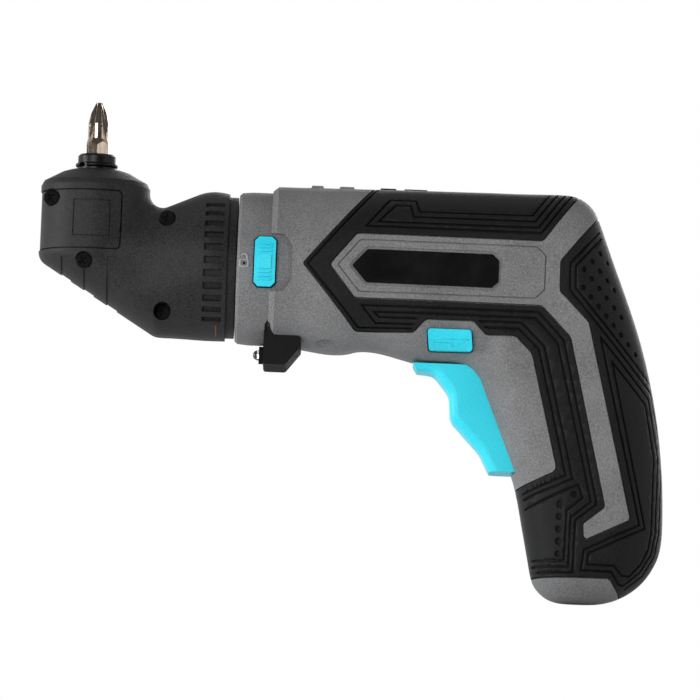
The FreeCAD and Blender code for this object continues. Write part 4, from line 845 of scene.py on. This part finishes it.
# Studio light: white all round for camera and glass, and for gloss except in front, where the room is
# dim, and overhead. Five soft square lamps stand round the part, the strongest low on the left.
FRONT_EDGE = -0.55
BACK_EDGE = 0.1
FRONT_LEVEL = 0.12
TOP_START = 0.2
TOP_END = 0.85
TOP_MIRRORED = 0.15
SIDE_LEVEL = 0.55
TOP_LEVEL = 0.08
ROOM_TOP = 0.9
LAMP_AIM = Vector((70, 0, -60)) * MM
world = bpy.data.worlds.new("studio")
bpy.context.scene.world = world
world.use_nodes = True
sky = world.node_tree
sky.nodes.clear()
heading = add(sky, "TexCoord").outputs["Generated"]
way = add(sky, "SeparateXYZ", {0: heading}).outputs
depth = {0: way["Y"], 1: FRONT_EDGE, 2: BACK_EDGE}
behind = add(sky, "MapRange", depth, interpolation_type="SMOOTHSTEP").outputs[0]
height = {0: way["Z"], 1: TOP_START, 2: TOP_END, 3: 1.0, 4: TOP_MIRRORED}
low = add(sky, "MapRange", height).outputs[0]
backdrop = add(sky, "Math", {0: behind, 1: low}, operation="MULTIPLY").outputs[0]
mirrored = add(sky, "MapRange", {0: backdrop, 3: FRONT_LEVEL, 4: 1.0}).outputs[0]
walls = {0: way["Z"], 1: 0.0, 2: ROOM_TOP, 3: SIDE_LEVEL, 4: TOP_LEVEL}
room = add(sky, "MapRange", walls).outputs[0]
path = add(sky, "LightPath").outputs
level = add(sky, "Mix", {0: path["Is Glossy Ray"], 2: room, 3: mirrored}, data_type="FLOAT").outputs[0]
level = add(sky, "Mix", {0: path["Is Transmission Ray"], 2: level, 3: 1.0}, data_type="FLOAT").outputs[0]
level = add(sky, "Mix", {0: path["Is Camera Ray"], 2: level, 3: 1.0}, data_type="FLOAT").outputs[0]
light = add(sky, "Background", {"Color": (1, 1, 1, 1), "Strength": level}).outputs[0]
add(sky, "OutputWorld", {"Surface": light})


def soft_lamp(name, place, size, power):
    """A square soft lamp that faces the part."""
    lamp = bpy.data.lights.new(name, "AREA")
    lamp.size = size
    lamp.energy = power
    holder = bpy.data.objects.new(name, lamp)
    holder.location = place
    beam = LAMP_AIM - Vector(place)
    holder.rotation_euler = beam.to_track_quat("-Z", "Y").to_euler()
    bpy.context.scene.collection.objects.link(holder)


soft_lamp("left_lamp", (-1.18, -0.25, -0.05), 0.4, 10.0)
soft_lamp("front_lamp", (-0.5, -1.2, 0.02), 0.6, 8.0)
soft_lamp("right_lamp", (1.1, -0.64, 0.0), 0.9, 2.6)
soft_lamp("top_lamp", (0.1, 0.3, 1.2), 0.8, 1.2)
soft_lamp("back_lamp", (0.4, 1.25, 0.3), 0.8, 7.0)

# Camera: a long lens a little below the barrel, 2.5 m off, so that the sides hardly converge. It is
# rolled a little, so that the nose rises as it does in the photograph.
FRAME_WIDTH = 0.2
AIM = Vector((74.5, 0, -68.1)) * MM
DISTANCE = 2.5
BELOW = math.radians(5.5)
ROLL = math.radians(2.3)
camera = bpy.data.cameras.new("camera")
camera.sensor_width = 36
camera.lens = camera.sensor_width * DISTANCE / FRAME_WIDTH
camera.clip_end = 20
eye = bpy.data.objects.new("camera", camera)
bpy.context.scene.collection.objects.link(eye)
back = Vector((0, -math.cos(BELOW), -math.sin(BELOW)))
level_up = Vector((0, -math.sin(BELOW), math.cos(BELOW)))
right = Vector((1, 0, 0)) * math.cos(ROLL) + level_up * math.sin(ROLL)
up = back.cross(right)
facing = Matrix((right, up, back)).transposed().to_4x4()
eye.matrix_world = Matrix.Translation(AIM + back * DISTANCE) @ facing
bpy.context.scene.camera = eye
bpy.context.scene.view_settings.view_transform = "Standard"
